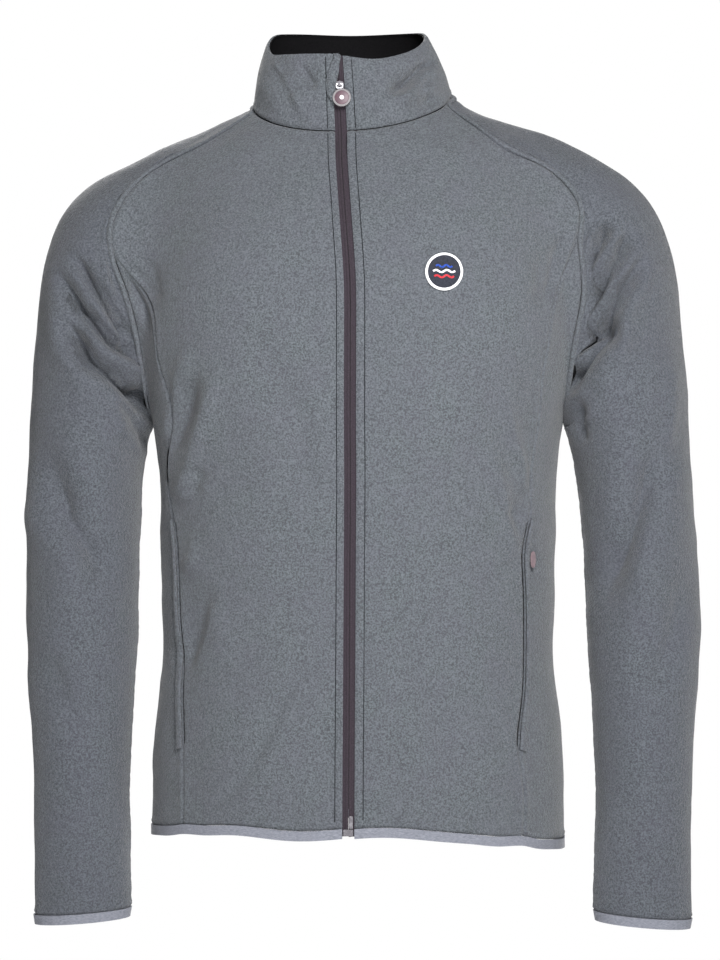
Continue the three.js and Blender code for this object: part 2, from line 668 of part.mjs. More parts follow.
// Torso panels
function frontGrid(side) {
  const s = seams[side];
  const outerEdge = [...s.princess, ...s.raglanF.slice(1)];
  const neck = s.neckFront[0];
  const edgeHeights = outerEdge.map((p) => p.z);
  const share = edgeHeights.map((z) => (z - edgeHeights[0]) / (edgeHeights.at(-1) - edgeHeights[0]));
  const heights = share.map((part, i) => mix(HEM_SEAM, neck.z, mix(part, i / (share.length - 1), part ** 2)));
  const zip = zipEdge(side, heights);
  zip[zip.length - 1] = neck;
  const bottom = hemLine(zip[0], outerEdge[0], FRONT_COLUMNS, 0);
  return patch(bottom, s.neckFront, zip, outerEdge, 0);
}

function sideGrid(side) {
  const s = seams[side];
  const facing = (SIDES[side] * Math.PI) / 2;
  const top = [...s.holeF, ...[...s.holeB].reverse().slice(1)];
  const bottom = hemLine(s.princess[0], s.sideBack[0], top.length - 1, facing);
  return relaxed(patch(bottom, top, s.princess, s.sideBack, facing), RELAX_PASSES.side, 1, false);
}

function backGrid() {
  const edge = (s) => [...s.sideBack, ...s.raglanB.slice(1)];
  const left = edge(seams.left);
  const right = edge(seams.right);
  return patch(hemLine(left[0], right[0], BACK_COLUMNS, Math.PI), neckBack, left, right, Math.PI);
}

// A sleeve's rows run from the raglan seam to the cuff, its columns round it from the underarm
const OVERARM = table(["x", "z"], [[139, -20], [192, -43], [245, -66], [270, -89], [282, -115], [291, -150],
  [296, -200], [300, -250], [302, -300], [303, -350], [305, -400], [307, -450], [308, -490], [304, -540],
  [301, -590], [300, -640], [299, -690]]);
const UNDERARM_SHARE = table(["s", "part"], [[0, 0], [0.17, 0.012], [0.33, 0.05], [0.5, 0.2], [0.75, 0.59], [1, 1]]);

function sleeveGrid(side) {
  const s = seams[side];
  const sign = SIDES[side];
  const first = [
    ...[...s.holeF].reverse(), ...s.raglanF.slice(1), ...s.neckSleeve.slice(1),
    ...[...s.raglanB].reverse().slice(1), ...s.holeB.slice(1),
  ];
  const neckTop = neckPoint(side, (NECK_TURNS.raglanFront + NECK_TURNS.raglanBack) / 2);
  const ends = (z, half) => at(sign * (sleeve.middle(z) + half) + sway.sleeves(z), sleeve.fore(z), z);
  const cuffOuter = ends(CUFF_SEAM.outer, sleeve.half(CUFF_SEAM.outer));
  const cuffInner = ends(CUFF_SEAM.inner, -sleeve.half(CUFF_SEAM.inner));
  const overarm = new THREE.CatmullRomCurve3([
    neckTop, ...OVERARM.map((row) => at(sign * row.x + sway.sleeves(row.z), sleeve.fore(row.z), row.z)), cuffOuter,
  ], false, "centripetal");
  const share = curve(UNDERARM_SHARE, "s", "part");
  const start = first[0];
  const grid = spaced(0, 1, SLEEVE_ROWS).map((part, row) => {
    const over = overarm.getPointAt(part);
    const low = mix(start.z, cuffInner.z, share(part));
    const drop = clamp((start.z - low) / 40, 0, 1);
    const under = ends(low, -sleeve.half(low));
    under.x = mix(start.x, under.x, drop);
    const middle = over.clone().add(under).multiplyScalar(0.5);
    middle.y = mix(0, sleeve.fore(middle.z), ease(part / 0.3));
    const loose = 1 - ease(part / 0.36);
    return first.map((home, j) => {
      if (row === 0) return home;
      const turn = Math.PI - (2 * Math.PI * j) / SLEEVE_COLUMNS;
      const arm = over.clone().sub(under).multiplyScalar(0.5 * Math.cos(turn));
      const deep = at(0, -Math.sin(turn) * sleeve.depth(middle.z), 0);
      const firstOver = neckTop.clone().sub(start).multiplyScalar(0.5 * Math.cos(turn));
      const firstMiddle = neckTop.clone().add(start).multiplyScalar(0.5);
      firstMiddle.y = 0;
      const residual = home.clone().sub(firstMiddle.add(firstOver).add(deep));
      const aim = middle.clone().add(arm).add(deep).addScaledVector(residual, loose);
      return cast(middle, aim.sub(middle), true);
    });
  });
  grid[1] = beside(first, -sign * FIRST_ROW);
  return relaxed(grid, RELAX_PASSES.sleeve, 2, true);
}

const colours = {
  fleece: { color: 0x6c7278, roughness: 0.95, metalness: 0 },
  facing: { color: 0x3c393e, roughness: 0.95, metalness: 0 },
  binding: { color: 0x8c8e98, roughness: 0.75, metalness: 0 },
  zip: { color: 0x58525a, roughness: 0.7, metalness: 0 },
  metal: { color: 0xb8bac0, roughness: 0.3, metalness: 1 },
  tab: { color: 0x4c4652, roughness: 0.5, metalness: 0 },
  rim: { color: 0xd8d8d8, roughness: 0.8, metalness: 0 },
};
const materials = Object.fromEntries(
  Object.entries(colours).map(([name, look]) => [name, new THREE.MeshStandardMaterial(look)]),
);

const jacket = new THREE.Group();

function add(name, geometry, look) {
  const mesh = new THREE.Mesh(geometry, materials[look]);
  mesh.name = name;
  jacket.add(mesh);
  return mesh;
}

const grids = { back: backGrid().map((row) => row.map(dressedTorso)) };
["right", "left"].forEach((side) => {
  grids[`front_${side}`] = frontGrid(side).map((row) => row.map(dressedTorso));
  grids[`side_${side}`] = sideGrid(side).map((row) => row.map(dressedTorso));
  grids[`sleeve_${side}`] = sleeveGrid(side).map((row) => row.map(dressedSleeve));
});

// Cells of a line with their normals taken from the lines beside it
function withNormals(points) {
  return points.map((row, i) => row.map((p, j) => {
    const up = points[Math.min(i + 1, points.length - 1)][j].clone().sub(points[Math.max(i - 1, 0)][j]);
    const round = row[Math.min(j + 1, row.length - 1)].clone().sub(row[Math.max(j - 1, 0)]);
    return { p, normal: up.cross(round).normalize() };
  }));
}

// The stand collar, from the right end of the zip round the back to the left end
function collarGrid() {
  const { neckFront: rightFront, neckSleeve: rightSleeve } = seams.right;
  const { neckFront: leftFront, neckSleeve: leftSleeve } = seams.left;
  const low = [
    ...rightFront, ...rightSleeve.slice(1), ...[...neckBack].reverse().slice(1),
    ...[...leftSleeve].reverse().slice(1), ...[...leftFront].reverse().slice(1),
  ];
  const quarter = [
    ...spaced(NECK_TURNS.cut, NECK_TURNS.raglanFront, FRONT_COLUMNS),
    ...spaced(NECK_TURNS.raglanFront, NECK_TURNS.raglanBack, NECK_SLEEVE_COLUMNS).slice(1),
  ];
  const middle = spaced(NECK_TURNS.raglanBack, 360 - NECK_TURNS.raglanBack, BACK_COLUMNS).slice(1, -1);
  const turns = [...quarter, ...middle, ...quarter.map((turn) => 360 - turn).reverse()];
  const high = turns.map((turn) => {
    const angle = (turn * Math.PI) / 180;
    const front = ((1 + Math.cos(angle)) / 2) ** 2;
    const heights = turn < 180 ? collarTop.right(turn) : collarTop.left(360 - turn);
    const x = COLLAR.middleX - COLLAR.half * Math.sin(angle) + (sway.zip(42) - COLLAR.middleX) * front;
    const deep = Math.cos(angle) > 0 ? COLLAR.front : COLLAR.back;
    return at(x, COLLAR.middleY - deep * Math.cos(angle), heights);
  });
  const points = spaced(0, 1, COLLAR_ROWS).map((t) => low.map((p, j) => {
    const foot = p.clone().add(at(0, 0, SEAM_GAP));
    return foot.lerp(high[j], t);
  }));
  return withNormals(points).map((row, i) => row.map((cell) => {
    const t = i / COLLAR_ROWS;
    const { u, v } = seen(cell.p);
    const facing = ease((-cell.normal.dot(AHEAD) - 0.05) / 0.4);
    const bulge = COLLAR.bulge * Math.sin(Math.PI * t) + foldDepth(COLLAR_FOLDS, u, v) * facing * ease(t / 0.25);
    return { p: cell.p.clone().addScaledVector(cell.normal, bulge), normal: cell.normal };
  }));
}

grids.collar = collarGrid();

// A line of cells dropped by a height and drawn in a little, for the elastic bindings
function drawnIn(cells, drop, pull) {
  return cells.map(({ p, normal }) => ({ p: p.clone().add(at(-normal.x * pull, -normal.y * pull, -drop)), normal }));
}

function hemCells() {
  const first = (name) => grids[name][0];
  return [
    ...first("front_right"), ...first("side_right").slice(1), ...[...first("back")].reverse().slice(1),
    ...[...first("side_left")].reverse().slice(1), ...[...first("front_left")].reverse().slice(1),
  ];
}

// Each side's edge along the zip with the cells beside it, from the hem to the collar's top
function edgeRows(side) {
  const front = grids[`front_${side}`].map((row) => [row[0], row[1]]);
  const last = grids.collar[0].length - 1;
  const collar = grids.collar.map((row) => (side === "right" ? [row[0], row[1]] : [row[last], row[last - 1]]));
  const foot = front[0].map(({ p, normal }) => ({ p: p.clone().add(at(0, 0, -ZIP_FOOT)), normal }));
  return [foot, ...front, ...collar.slice(1)];
}

// Zip tape of one side, on the inside of the front's edge and the collar's end
function tapeGrid(side) {
  const other = edgeRows(side === "right" ? "left" : "right");
  return edgeRows(side).map(([edge, next], i) => {
    const facingEdge = other[i][0];
    const across = next.p.clone().sub(edge.p).normalize();
    const middle = (edge.p.x + facingEdge.p.x) / 2 + SIDES[side] * (SEAM_GAP / 2);
    const shared = edge.normal.clone().add(facingEdge.normal).setX(0).normalize();
    const offsets = [(middle - edge.p.x) / across.x, 0, ZIP_TAPE_WIDE - ZIP_GAP / 2];
    return offsets.map((off, j) => ({
      p: edge.p.clone().addScaledVector(across, off),
      normal: j === 0 ? shared : edge.normal,
    }));
  });
}

// Point and normal on a panel's faces at (x, z), seen straight from the front
function onPanel(grid, x, z) {
  const within = (a, b, c) => {
    const area = (p, q, r) => (q.x - p.x) * (r.z - p.z) - (r.x - p.x) * (q.z - p.z);
    const here = { x, z };
    const whole = area(a.p, b.p, c.p);
    const parts = [area(here, b.p, c.p) / whole, area(a.p, here, c.p) / whole, area(a.p, b.p, here) / whole];
    if (Math.min(...parts) < -1e-6) return null;
    const blendOf = (key) => at(0, 0, 0).addScaledVector(a[key], parts[0])
      .addScaledVector(b[key], parts[1]).addScaledVector(c[key], parts[2]);
    return { p: blendOf("p"), normal: blendOf("normal").normalize() };
  };
  for (let i = 0; i < grid.length - 1; i += 1) {
    for (let j = 0; j < grid[0].length - 1; j += 1) {
      const [a, b, c, d] = [grid[i][j], grid[i][j + 1], grid[i + 1][j + 1], grid[i + 1][j]];
      const found = within(a, b, c) || within(a, c, d);
      if (found) return found;
    }
  }
  return null;
}

// Round patch on a panel, or a ring where it has an inner radius
function patchRing(grid, place, radii) {
  return radii.map((radius) => spaced(0, 2 * Math.PI, BADGE.sides).map((turn) =>
    onPanel(grid, place.x + radius * Math.cos(turn), place.z + radius * Math.sin(turn))));
}

function disc(rings, middle, low, high) {
  const sides = rings[0].length - 1;
  const positions = [];
  [high, low].forEach((off) => [[middle], ...rings.map((ring_) => ring_.slice(0, sides))].flat()
    .forEach(({ p, normal }) => positions.push(...p.clone().addScaledVector(normal, off).toArray())));
  const layer = 1 + rings.length * sides;
  const spot = (k, i, j) => k * layer + 1 + i * sides + (j % sides);
  const index = [];
  for (let j = 0; j < sides; j += 1) {
    index.push(0, spot(0, 0, j), spot(0, 0, j + 1), layer, spot(1, 0, j + 1), spot(1, 0, j));
    for (let i = 0; i < rings.length - 1; i += 1) {
      index.push(spot(0, i, j), spot(0, i + 1, j), spot(0, i + 1, j + 1));
      index.push(spot(0, i, j), spot(0, i + 1, j + 1), spot(0, i, j + 1));
      index.push(spot(1, i, j), spot(1, i + 1, j + 1), spot(1, i + 1, j));
      index.push(spot(1, i, j), spot(1, i, j + 1), spot(1, i + 1, j + 1));
    }
    const rim = rings.length - 1;
    index.push(spot(0, rim, j), spot(1, rim, j), spot(1, rim, j + 1));
    index.push(spot(0, rim, j), spot(1, rim, j + 1), spot(0, rim, j + 1));
  }
  return solid(positions, index);
}

// Hard parts of the zip
function roundedPlate(wide, tall, thick, corner) {
  const shape = new THREE.Shape();
  const [x, y] = [wide / 2, tall / 2];
  shape.absarc(x - corner, y - corner, corner, 0, Math.PI / 2);
  shape.absarc(-x + corner, y - corner, corner, Math.PI / 2, Math.PI);
  shape.absarc(-x + corner, -y + corner, corner, Math.PI, 1.5 * Math.PI);
  shape.absarc(x - corner, -y + corner, corner, 1.5 * Math.PI, 2 * Math.PI);
  return { shape, settings: { depth: thick, bevelEnabled: false, curveSegments: 3 } };
}

// Lays a plate's outline in the XZ plane with its thickness along Y, centred
function upright(plate) {
  const geometry = new THREE.ExtrudeGeometry(plate.shape, plate.settings);
  geometry.translate(0, 0, -plate.settings.depth / 2);
  geometry.rotateX(Math.PI / 2);
  return geometry;
}

function joined(geometries) {
  const whole = geometries.map((geometry) => {
    const bare = geometry.clone();
    bare.deleteAttribute("normal");
    bare.deleteAttribute("uv");
    const merged = mergeVertices(bare, 1e-4);
    return new wasm.Manifold(new wasm.Mesh({
      numProp: 3,
      vertProperties: Float32Array.from(merged.attributes.position.array),
      triVerts: Uint32Array.from(merged.index.array),
    }));
  }).reduce((a, b) => a.add(b));
  const mesh = whole.getMesh();
  const geometry = new THREE.BufferGeometry();
  geometry.setAttribute("position", new THREE.Float32BufferAttribute(mesh.vertProperties, 3));
  geometry.setIndex([...mesh.triVerts]);
  geometry.computeVertexNormals();
  return geometry;
}

// The slider's face with the bridge that the link hangs from. Local Y runs into the cloth.
function sliderGeometry() {
  const face = upright(roundedPlate(SLIDER.wide, SLIDER.tall, SLIDER.thick, 2));
  const { reach, rise, strap, wide, above } = BRIDGE;
  const block = (long, tall, y, z) => {
    const piece = new THREE.BoxGeometry(wide, long, tall);
    piece.translate(0, -SLIDER.thick / 2 - y, above + z);
    return piece;
  };
  const leg = (rise - strap) / 2;
  const legs = [leg, -leg].map((z) => block(reach + 0.4, strap, reach / 2 - 0.2, z));
  return joined([face, ...legs, block(strap, rise, reach - strap / 2, 0)]);
}

function linkGeometry() {
  const { wide, tall, bar } = LINK;
  const outline = roundedPlate(wide, tall, bar, 1.4);
  const hole = roundedPlate(wide - 2 * bar, tall - 2 * bar, bar, 0.5);
  outline.shape.holes.push(hole.shape);
  const geometry = upright(outline);
  geometry.translate(0, 0, -tall / 2 + bar / 2);
  return geometry;
}

function roundTab({ wide, tall, thick }) {
  const shape = new THREE.Shape();
  shape.absellipse(0, 0, wide / 2, tall / 2, 0, 2 * Math.PI);
  return { shape, settings: { depth: thick, bevelEnabled: false, curveSegments: 14 } };
}

function tabGeometry() {
  const geometry = upright(roundTab({ wide: 2 * TAB.radius, tall: 2 * TAB.radius, thick: TAB.thick }));
  geometry.translate(TAB.aside, 0, -TAB.hang);
  return geometry;
}

Object.entries(grids).forEach(([name, grid]) => {
  const closed = name.startsWith("sleeve");
  add(name, wall(trimmed(grid, closed), 0, -CLOTH, closed), "fleece");
});

const facing = grids.collar.map((row) => row.slice(1, -1));
add("collar_facing", wall(facing, -CLOTH - SEAM_GAP, -CLOTH - SEAM_GAP - FACING), "facing");

const hem = hemCells();
add("hem_binding", wall(trimmed([drawnIn(hem, BINDING_TALL, 0), hem], false), 1, 1 - BINDING), "binding");
["right", "left"].forEach((side) => {
  const cuff = grids[`sleeve_${side}`].at(-1);
  const band = trimmed([cuff, drawnIn(cuff, BINDING_TALL, 1.5)], true);
  add(`cuff_binding_${side}`, wall(band, 1, 1 - BINDING, true), "binding");
  add(`zip_tape_${side}`, wall(tapeGrid(side), -CLOTH - TAPE_BEHIND, -CLOTH - TAPE_BEHIND - TAPE), "zip");
  const pocket = grids[`side_${side}`].slice(LOW_ROWS, LOW_ROWS + POCKET_ROWS + 1);
  const welt = pocket.map(([edge, next]) => {
    const share = WELT.wide / next.p.distanceTo(edge.p);
    return [edge, { p: edge.p.clone().lerp(next.p, share), normal: edge.normal }];
  });
  add(`pocket_welt_${side}`, wall(welt, WELT.above + WELT.thick, WELT.above), "fleece");
});

// The left pocket's pull shows beside its welt; the right one is tucked out of sight
const pocketRows = grids.side_left.slice(POCKET_PULL.row, POCKET_PULL.row + 2);
const [seamSpot, panelSpot] = [0, 1].map((column) => {
  const [low, high] = pocketRows.map((row) => row[column].p);
  return low.clone().lerp(high, POCKET_PULL.up);
});
const pocketShare = POCKET_PULL.aside / seamSpot.distanceTo(panelSpot);
const pocketSpot = seamSpot.clone().lerp(panelSpot, pocketShare);
const pocketNormal = pocketRows[0][1].normal;
const pocketPull = add("pocket_pull_left", upright(roundTab(POCKET_PULL)), "tab");
pocketPull.position.copy(pocketSpot).addScaledVector(pocketNormal, POCKET_PULL.out);
pocketPull.rotation.z = Math.atan2(pocketNormal.x, -pocketNormal.y);

const chest = grids.front_left;
const faceRings = patchRing(chest, BADGE, [BADGE.face / 2, BADGE.face]);
add("badge_face", disc(faceRings, onPanel(chest, BADGE.x, BADGE.z), BADGE.above, BADGE.above + BADGE.thick), "zip");
const rimRings = patchRing(chest, BADGE, [BADGE.face + SEAM_GAP, BADGE.radius]);
add("badge_rim", wall(rimRings, BADGE.above + BADGE.thick + 0.3, BADGE.above, true), "rim");

// The chin guard covers the zip's top from the right
const guardRows = grids.collar.slice(GUARD.firstRow).map((row) => {
  const across = row[1].p.clone().sub(row[0].p).normalize();
  const over = row[0].p.z > SLIDER.z + SLIDER.tall ? GUARD.over : -GUARD.clear;
  return [-over, GUARD.back / 2, GUARD.back].map((off) => ({
    p: row[0].p.clone().addScaledVector(across, off),
    normal: row[0].normal,
  }));
});
add("chin_guard", wall(guardRows, GUARD.above + GUARD.thick, GUARD.above), "fleece");

// Where the slider stands: on the tapes' middle line, in front of the more forward one
const lines = [tapeGrid("right"), tapeGrid("left")].map((tape) => tape.map((row) => row[0]));
const chainAt = (z) => {
  const [one, two] = lines.map((line) => {
    const i = line.findIndex((cell) => cell.p.z > z) - 1;
    const share = (z - line[i].p.z) / (line[i + 1].p.z - line[i].p.z);
    return { p: line[i].p.clone().lerp(line[i + 1].p, share), normal: line[i].normal };
  });
  const p = at((one.p.x + two.p.x) / 2 + SLIDER.aside, Math.min(one.p.y, two.p.y), z);
  return { p, normal: one.normal };
};

const sliderPlace = chainAt(SLIDER.z);
const lean = Math.atan2(sliderPlace.normal.z, -sliderPlace.normal.y);
const slider = add("zip_slider", sliderGeometry(), "metal");
const into = SLIDER.thick / 2 - CLOTH - TAPE_BEHIND + SLIDER.clear;
slider.position.copy(sliderPlace.p).addScaledVector(sliderPlace.normal, into);
slider.rotation.x = -lean;

const pull = new THREE.Group();
const pivotOut = SLIDER.thick / 2 + BRIDGE.reach / 2 + 0.1;
pull.position.copy(at(0, -pivotOut, BRIDGE.above).applyAxisAngle(at(1, 0, 0), -lean)).add(slider.position);
pull.rotation.x = -PULL_TILT;
jacket.add(pull);
[["pull_link", linkGeometry(), "metal"], ["pull_tab", tabGeometry(), "tab"]].forEach(([name, geometry, look]) => {
  const mesh = new THREE.Mesh(geometry, materials[look]);
  mesh.name = name;
  pull.add(mesh);
});

// Foot of the zip: the box that the pin goes into
const foot = grids.front_left[0][0];
const footMiddle = foot.p.clone();
footMiddle.x = sway.zip(HEM_SEAM);
const box = add("zip_box", upright(roundedPlate(BOX.wide, BOX.tall, BOX.thick, 1)), "tab");
box.position.copy(footMiddle).add(at(0, BOX.back, -BOX.below));
const pin = add("zip_pin", upright(roundedPlate(PIN.wide, PIN.tall, PIN.thick, 0.6)), "tab");
pin.position.copy(footMiddle).add(at(PIN.aside, BOX.back, PIN.above));

export default jacket;
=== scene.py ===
"""Looks of a fleece zip jacket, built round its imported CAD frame.

Each cloth piece starts from the outer face of its CAD wall. Its grid of points is read off the
triangles, its facets are smoothed away, and it is drawn again much finer, with the folds, seams
and stitches that the photograph shows. Lengths inside the script are in millimetres.
"""

import math
import random

import bmesh
import bpy
import numpy as np
from mathutils import Matrix, Vector

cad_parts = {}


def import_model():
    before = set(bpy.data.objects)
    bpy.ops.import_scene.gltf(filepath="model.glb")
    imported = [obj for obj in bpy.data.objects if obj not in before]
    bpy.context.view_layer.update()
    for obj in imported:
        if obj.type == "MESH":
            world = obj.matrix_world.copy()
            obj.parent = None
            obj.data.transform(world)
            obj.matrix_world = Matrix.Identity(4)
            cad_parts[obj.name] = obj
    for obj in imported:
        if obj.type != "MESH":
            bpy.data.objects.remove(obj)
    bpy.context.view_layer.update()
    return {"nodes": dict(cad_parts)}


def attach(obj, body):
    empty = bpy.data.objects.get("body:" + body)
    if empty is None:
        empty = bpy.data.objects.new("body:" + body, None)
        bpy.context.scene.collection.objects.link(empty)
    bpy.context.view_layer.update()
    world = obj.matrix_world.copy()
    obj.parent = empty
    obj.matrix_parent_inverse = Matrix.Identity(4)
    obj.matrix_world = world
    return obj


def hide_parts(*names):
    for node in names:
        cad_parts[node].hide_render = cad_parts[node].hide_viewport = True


MM = 0.001

# The photograph's camera: it looks along AHEAD, turned a little to the jacket's left
VIEW_TURN = math.radians(3)
VIEW_DISTANCE = 3000
VIEW_HEIGHT = -342
VIEW_MIDDLE = 1.8
PICTURE_TALL = 883
AHEAD = np.array([-math.sin(VIEW_TURN), math.cos(VIEW_TURN), 0])
ACROSS = np.array([math.cos(VIEW_TURN), math.sin(VIEW_TURN), 0])
EYE = ACROSS * VIEW_MIDDLE - AHEAD * VIEW_DISTANCE + np.array([0, 0, VIEW_HEIGHT])

# Where the picture's millimetres start, in the photograph's own pixels, and a pixel's size
PIXEL = 0.92
PIXEL_ZERO = (358, 108)

CLOTH = 2.0
# Topstitching beside the zip, from the fronts' edges
STITCH_LINE = {"right": 6.5, "left": 7.7}
POCKET = (-582, -377)
BADGE_MIDDLE = (82.5, -158.5)
SLEEVE_AXIS = {"z": [-800, -600, -450, -300, -180, -60], "x": [258, 258, 255, 245, 225, 150]}


def seen(points):
    """Places in the picture plane, in millimetres, of points in the part's frame."""
    away = points - EYE
    scale = VIEW_DISTANCE / (away @ AHEAD)
    return VIEW_MIDDLE + (away @ ACROSS) * scale, VIEW_HEIGHT + away[..., 2] * scale


def from_pixels(line):
    """A line given in the photograph's pixels, in the picture plane's millimetres."""
    return [((px - PIXEL_ZERO[0]) * PIXEL, (PIXEL_ZERO[1] - py) * PIXEL) for px, py in line]


def ease(value):
    t = np.clip(value, 0, 1)
    return t * t * (3 - 2 * t)


# Reading a cloth wall's grid from the CAD mesh


def welded(node):
    """Points and triangles of a CAD node, in millimetres, with doubled points joined."""
    work = bmesh.new()
    work.from_mesh(frame["nodes"][node].data)
    bmesh.ops.remove_doubles(work, verts=work.verts, dist=2e-6)
    work.verts.index_update()
    points = np.array([vert.co for vert in work.verts]) / MM
    triangles = [tuple(vert.index for vert in face.verts) for face in work.faces]
    work.free()
    return points, triangles


def edges_of(triangle):
    a, b, c = triangle
    return ((a, b), (b, c), (c, a))


def edge_map(triangles):
    found = {}
    for number, triangle in enumerate(triangles):
        for a, b in edges_of(triangle):
            found.setdefault(frozenset((a, b)), []).append(number)
    return found


def outer_sheet(node, thick):
    """The triangles of a wall's outer face. Those of its rim have one side just as long as it is thick."""
    points, triangles = welded(node)
    broad = []
    normals = []
    for triangle in triangles:
        a, b, c = (points[k] for k in triangle)
        normals.append(np.cross(b - a, c - a))
        sides = [np.linalg.norm(points[i] - points[j]) for i, j in edges_of(triangle)]
        broad.append(min(abs(side - thick) for side in sides) > 0.002)
    at_edge = edge_map(triangles)
    label = [None] * len(triangles)
    sheets = []
    for start in range(len(triangles)):
        if label[start] is not None or not broad[start]:
            continue
        label[start] = len(sheets)
        sheet = [start]
        for number in sheet:
            for a, b in edges_of(triangles[number]):
                for other in at_edge[frozenset((a, b))]:
                    if label[other] is None and broad[other]:
                        label[other] = len(sheets)
                        sheet.append(other)
        sheets.append(sheet)
    sheets.sort(key=len, reverse=True)
    if len(sheets) < 2 or len(sheets[0]) != len(sheets[1]):
        raise ValueError(f"{node}: its two faces can't be told apart: {[len(s) for s in sheets]}")

    def outwardness(sheet):
        total = 0
        for number in sheet:
            middle = np.mean([points[k] for k in triangles[number]], axis=0)
            x = 0
            if "sleeve" in node or "cuff" in node:
                side = math.copysign(1, middle[0])
                x = side * np.interp(middle[2], SLEEVE_AXIS["z"], SLEEVE_AXIS["x"])
            away = middle - np.array([x, -10, middle[2]])
            total += normals[number] @ away
        return total

    inner, outer = sorted(sheets[:2], key=outwardness)
    outside = [triangles[number] for number in outer]
    return with_normals(points, outside, {k for number in inner for k in triangles[number]}, thick), outside


def with_normals(points, outside, behind, thick):
    """Adds each outer point's normal, which leads to its partner on the wall's inner face."""
    behind = np.array(sorted(behind))
    both = np.concatenate([points, np.zeros_like(points)], axis=1)
    for k in {k for triangle in outside for k in triangle}:
        across = points[k] - points[behind]
        partner = np.argmin(np.abs(np.linalg.norm(across, axis=1) - thick))
        both[k, 3:] = across[partner] / np.linalg.norm(across[partner])
    return both


def walk(triangles, row, first_column, closed):
    """Rows of point numbers, found by going from one row to the next across the triangles."""
    at_edge = edge_map(triangles)
    used = set()

    def third(a, b):
        for number in at_edge.get(frozenset((a, b)), ()):
            if number not in used:
                used.add(number)
                return next(k for k in triangles[number] if k not in (a, b))
        return None

    rows = [row]
    while True:
        last = rows[-1]
        following = []
        if closed:
            ahead = [third(a, b) for a, b in zip(last, last[1:] + last[:1])]
            if None in ahead:
                return rows
            following = ahead[-1:] + ahead[:-1] if first_column else ahead
            for k, point in enumerate(last):
                third(point, following[k] if first_column else following[k - 1])
        else:
            edge_next = [k for k in first_column.get(last[0], []) if k not in last and k not in sum(rows, [])]
            if not edge_next:
                return rows
            following = edge_next[:1]
            for a, b in zip(last, last[1:]):
                found = third(a, b)
                if found == following[-1]:
                    found = third(b, following[-1])
                else:
                    third(a, found)
                following.append(found)
        rows.append(following)


def open_grid(node, start, end, thick=CLOTH):
    """Grid of a wall with four corners. Its first row runs from near start to near end."""
    points, triangles = outer_sheet(node, thick)
    at_edge = edge_map(triangles)
    rim = {}
    count = {}
    for edge, numbers in at_edge.items():
        a, b = tuple(edge)
        count[a] = count.get(a, 0) + 1
        count[b] = count.get(b, 0) + 1
        if len(numbers) == 1:
            rim.setdefault(a, []).append(b)
            rim.setdefault(b, []).append(a)
    corners = [k for k in rim if count[k] <= 3]
    first, last = (min(corners, key=lambda k: np.linalg.norm(points[k, :3] - np.array(place)))
                   for place in (start, end))
    lines = []
    for second in rim[first]:
        line = [first, second]
        while line[-1] not in corners:
            line.append(next(k for k in rim[line[-1]] if k != line[-2]))
        lines.append(line)
    row = next(line for line in lines if line[-1] == last)
    return points[np.array(walk(triangles, row, rim, False))]


def ring_grid(node, start, thick=CLOTH):
    """Grid of a tube. Its first row is the ring nearest to start, and begins there."""
    points, triangles = outer_sheet(node, thick)
    rim = {}
    for edge, numbers in edge_map(triangles).items():
        if len(numbers) == 1:
            a, b = tuple(edge)
            rim.setdefault(a, []).append(b)
            rim.setdefault(b, []).append(a)
    first = min(rim, key=lambda k: np.linalg.norm(points[k, :3] - np.array(start)))
    row = [first, rim[first][0]]
    while True:
        following = next(k for k in rim[row[-1]] if k != row[-2])
        if following == first:
            break
        row.append(following)
    ways = []
    for slanted in (False, True):
        rows = np.array(walk(triangles, row, slanted, True))
        step = points[rows[1], :3] - points[rows[0], :3]
        ways.append((np.linalg.norm(step, axis=1).sum(), slanted, rows))
    return points[min(ways, key=lambda way: way[0])[2]]


# Drawing a grid again, finer


def smoothed(grid, passes, closed):
    """Takes small lumps out of a grid without shrinking it. Points move along their normals only."""
    points, normals = grid[..., :3].copy(), grid[..., 3:]
    for step in range(passes):
        weight = 0.5 if step % 2 == 0 else -0.52
        wide = np.concatenate([points[:, -1:], points, points[:, :1]], axis=1) if closed else points
        mean = (wide[:-2, 1:-1] + wide[2:, 1:-1] + wide[1:-1, :-2] + wide[1:-1, 2:]) / 4
        inner = (slice(1, -1), slice(None)) if closed else (slice(1, -1), slice(1, -1))
        normal = normals[inner]
        move = np.sum((mean - points[inner]) * normal, axis=-1, keepdims=True)
        points[inner] += weight * move * normal
    return np.concatenate([points, normals], axis=-1)


def spline_matrix(gaps, places):
    """Weights of a smooth curve through knots with the given gaps, at places given in knots."""
    count = len(gaps) + 1
    system = np.eye(count)
    right = np.zeros((count, count))
    for k in range(1, count - 1):
        before, after = gaps[k - 1], gaps[k]
        system[k, k - 1:k + 2] = (before, 2 * (before + after), after)
        right[k, k - 1:k + 2] = (6 / before, -6 / before - 6 / after, 6 / after)
    bend = np.linalg.solve(system, right)
    matrix = np.zeros((len(places), count))
    for line, place in enumerate(places):
        k = min(int(place), count - 2)
        t = place - k
        matrix[line, k] += 1 - t
        matrix[line, k + 1] += t
        share = gaps[k] ** 2 / 6
        matrix[line] += share * (((1 - t) ** 3 - (1 - t)) * bend[k] + (t ** 3 - t) * bend[k + 1])
    return matrix


def closed_matrix(gaps, places):
    """The same for a ring of knots, which carries on round past its ends."""
    reach = 6
    count = len(gaps)
    inner = spline_matrix(np.concatenate([gaps[-reach:], gaps, gaps[:reach]]), np.asarray(places) + reach)
    matrix = np.zeros((len(places), count))
    for column in range(inner.shape[1]):
        matrix[:, (column - reach) % count] += inner[:, column]
    return matrix


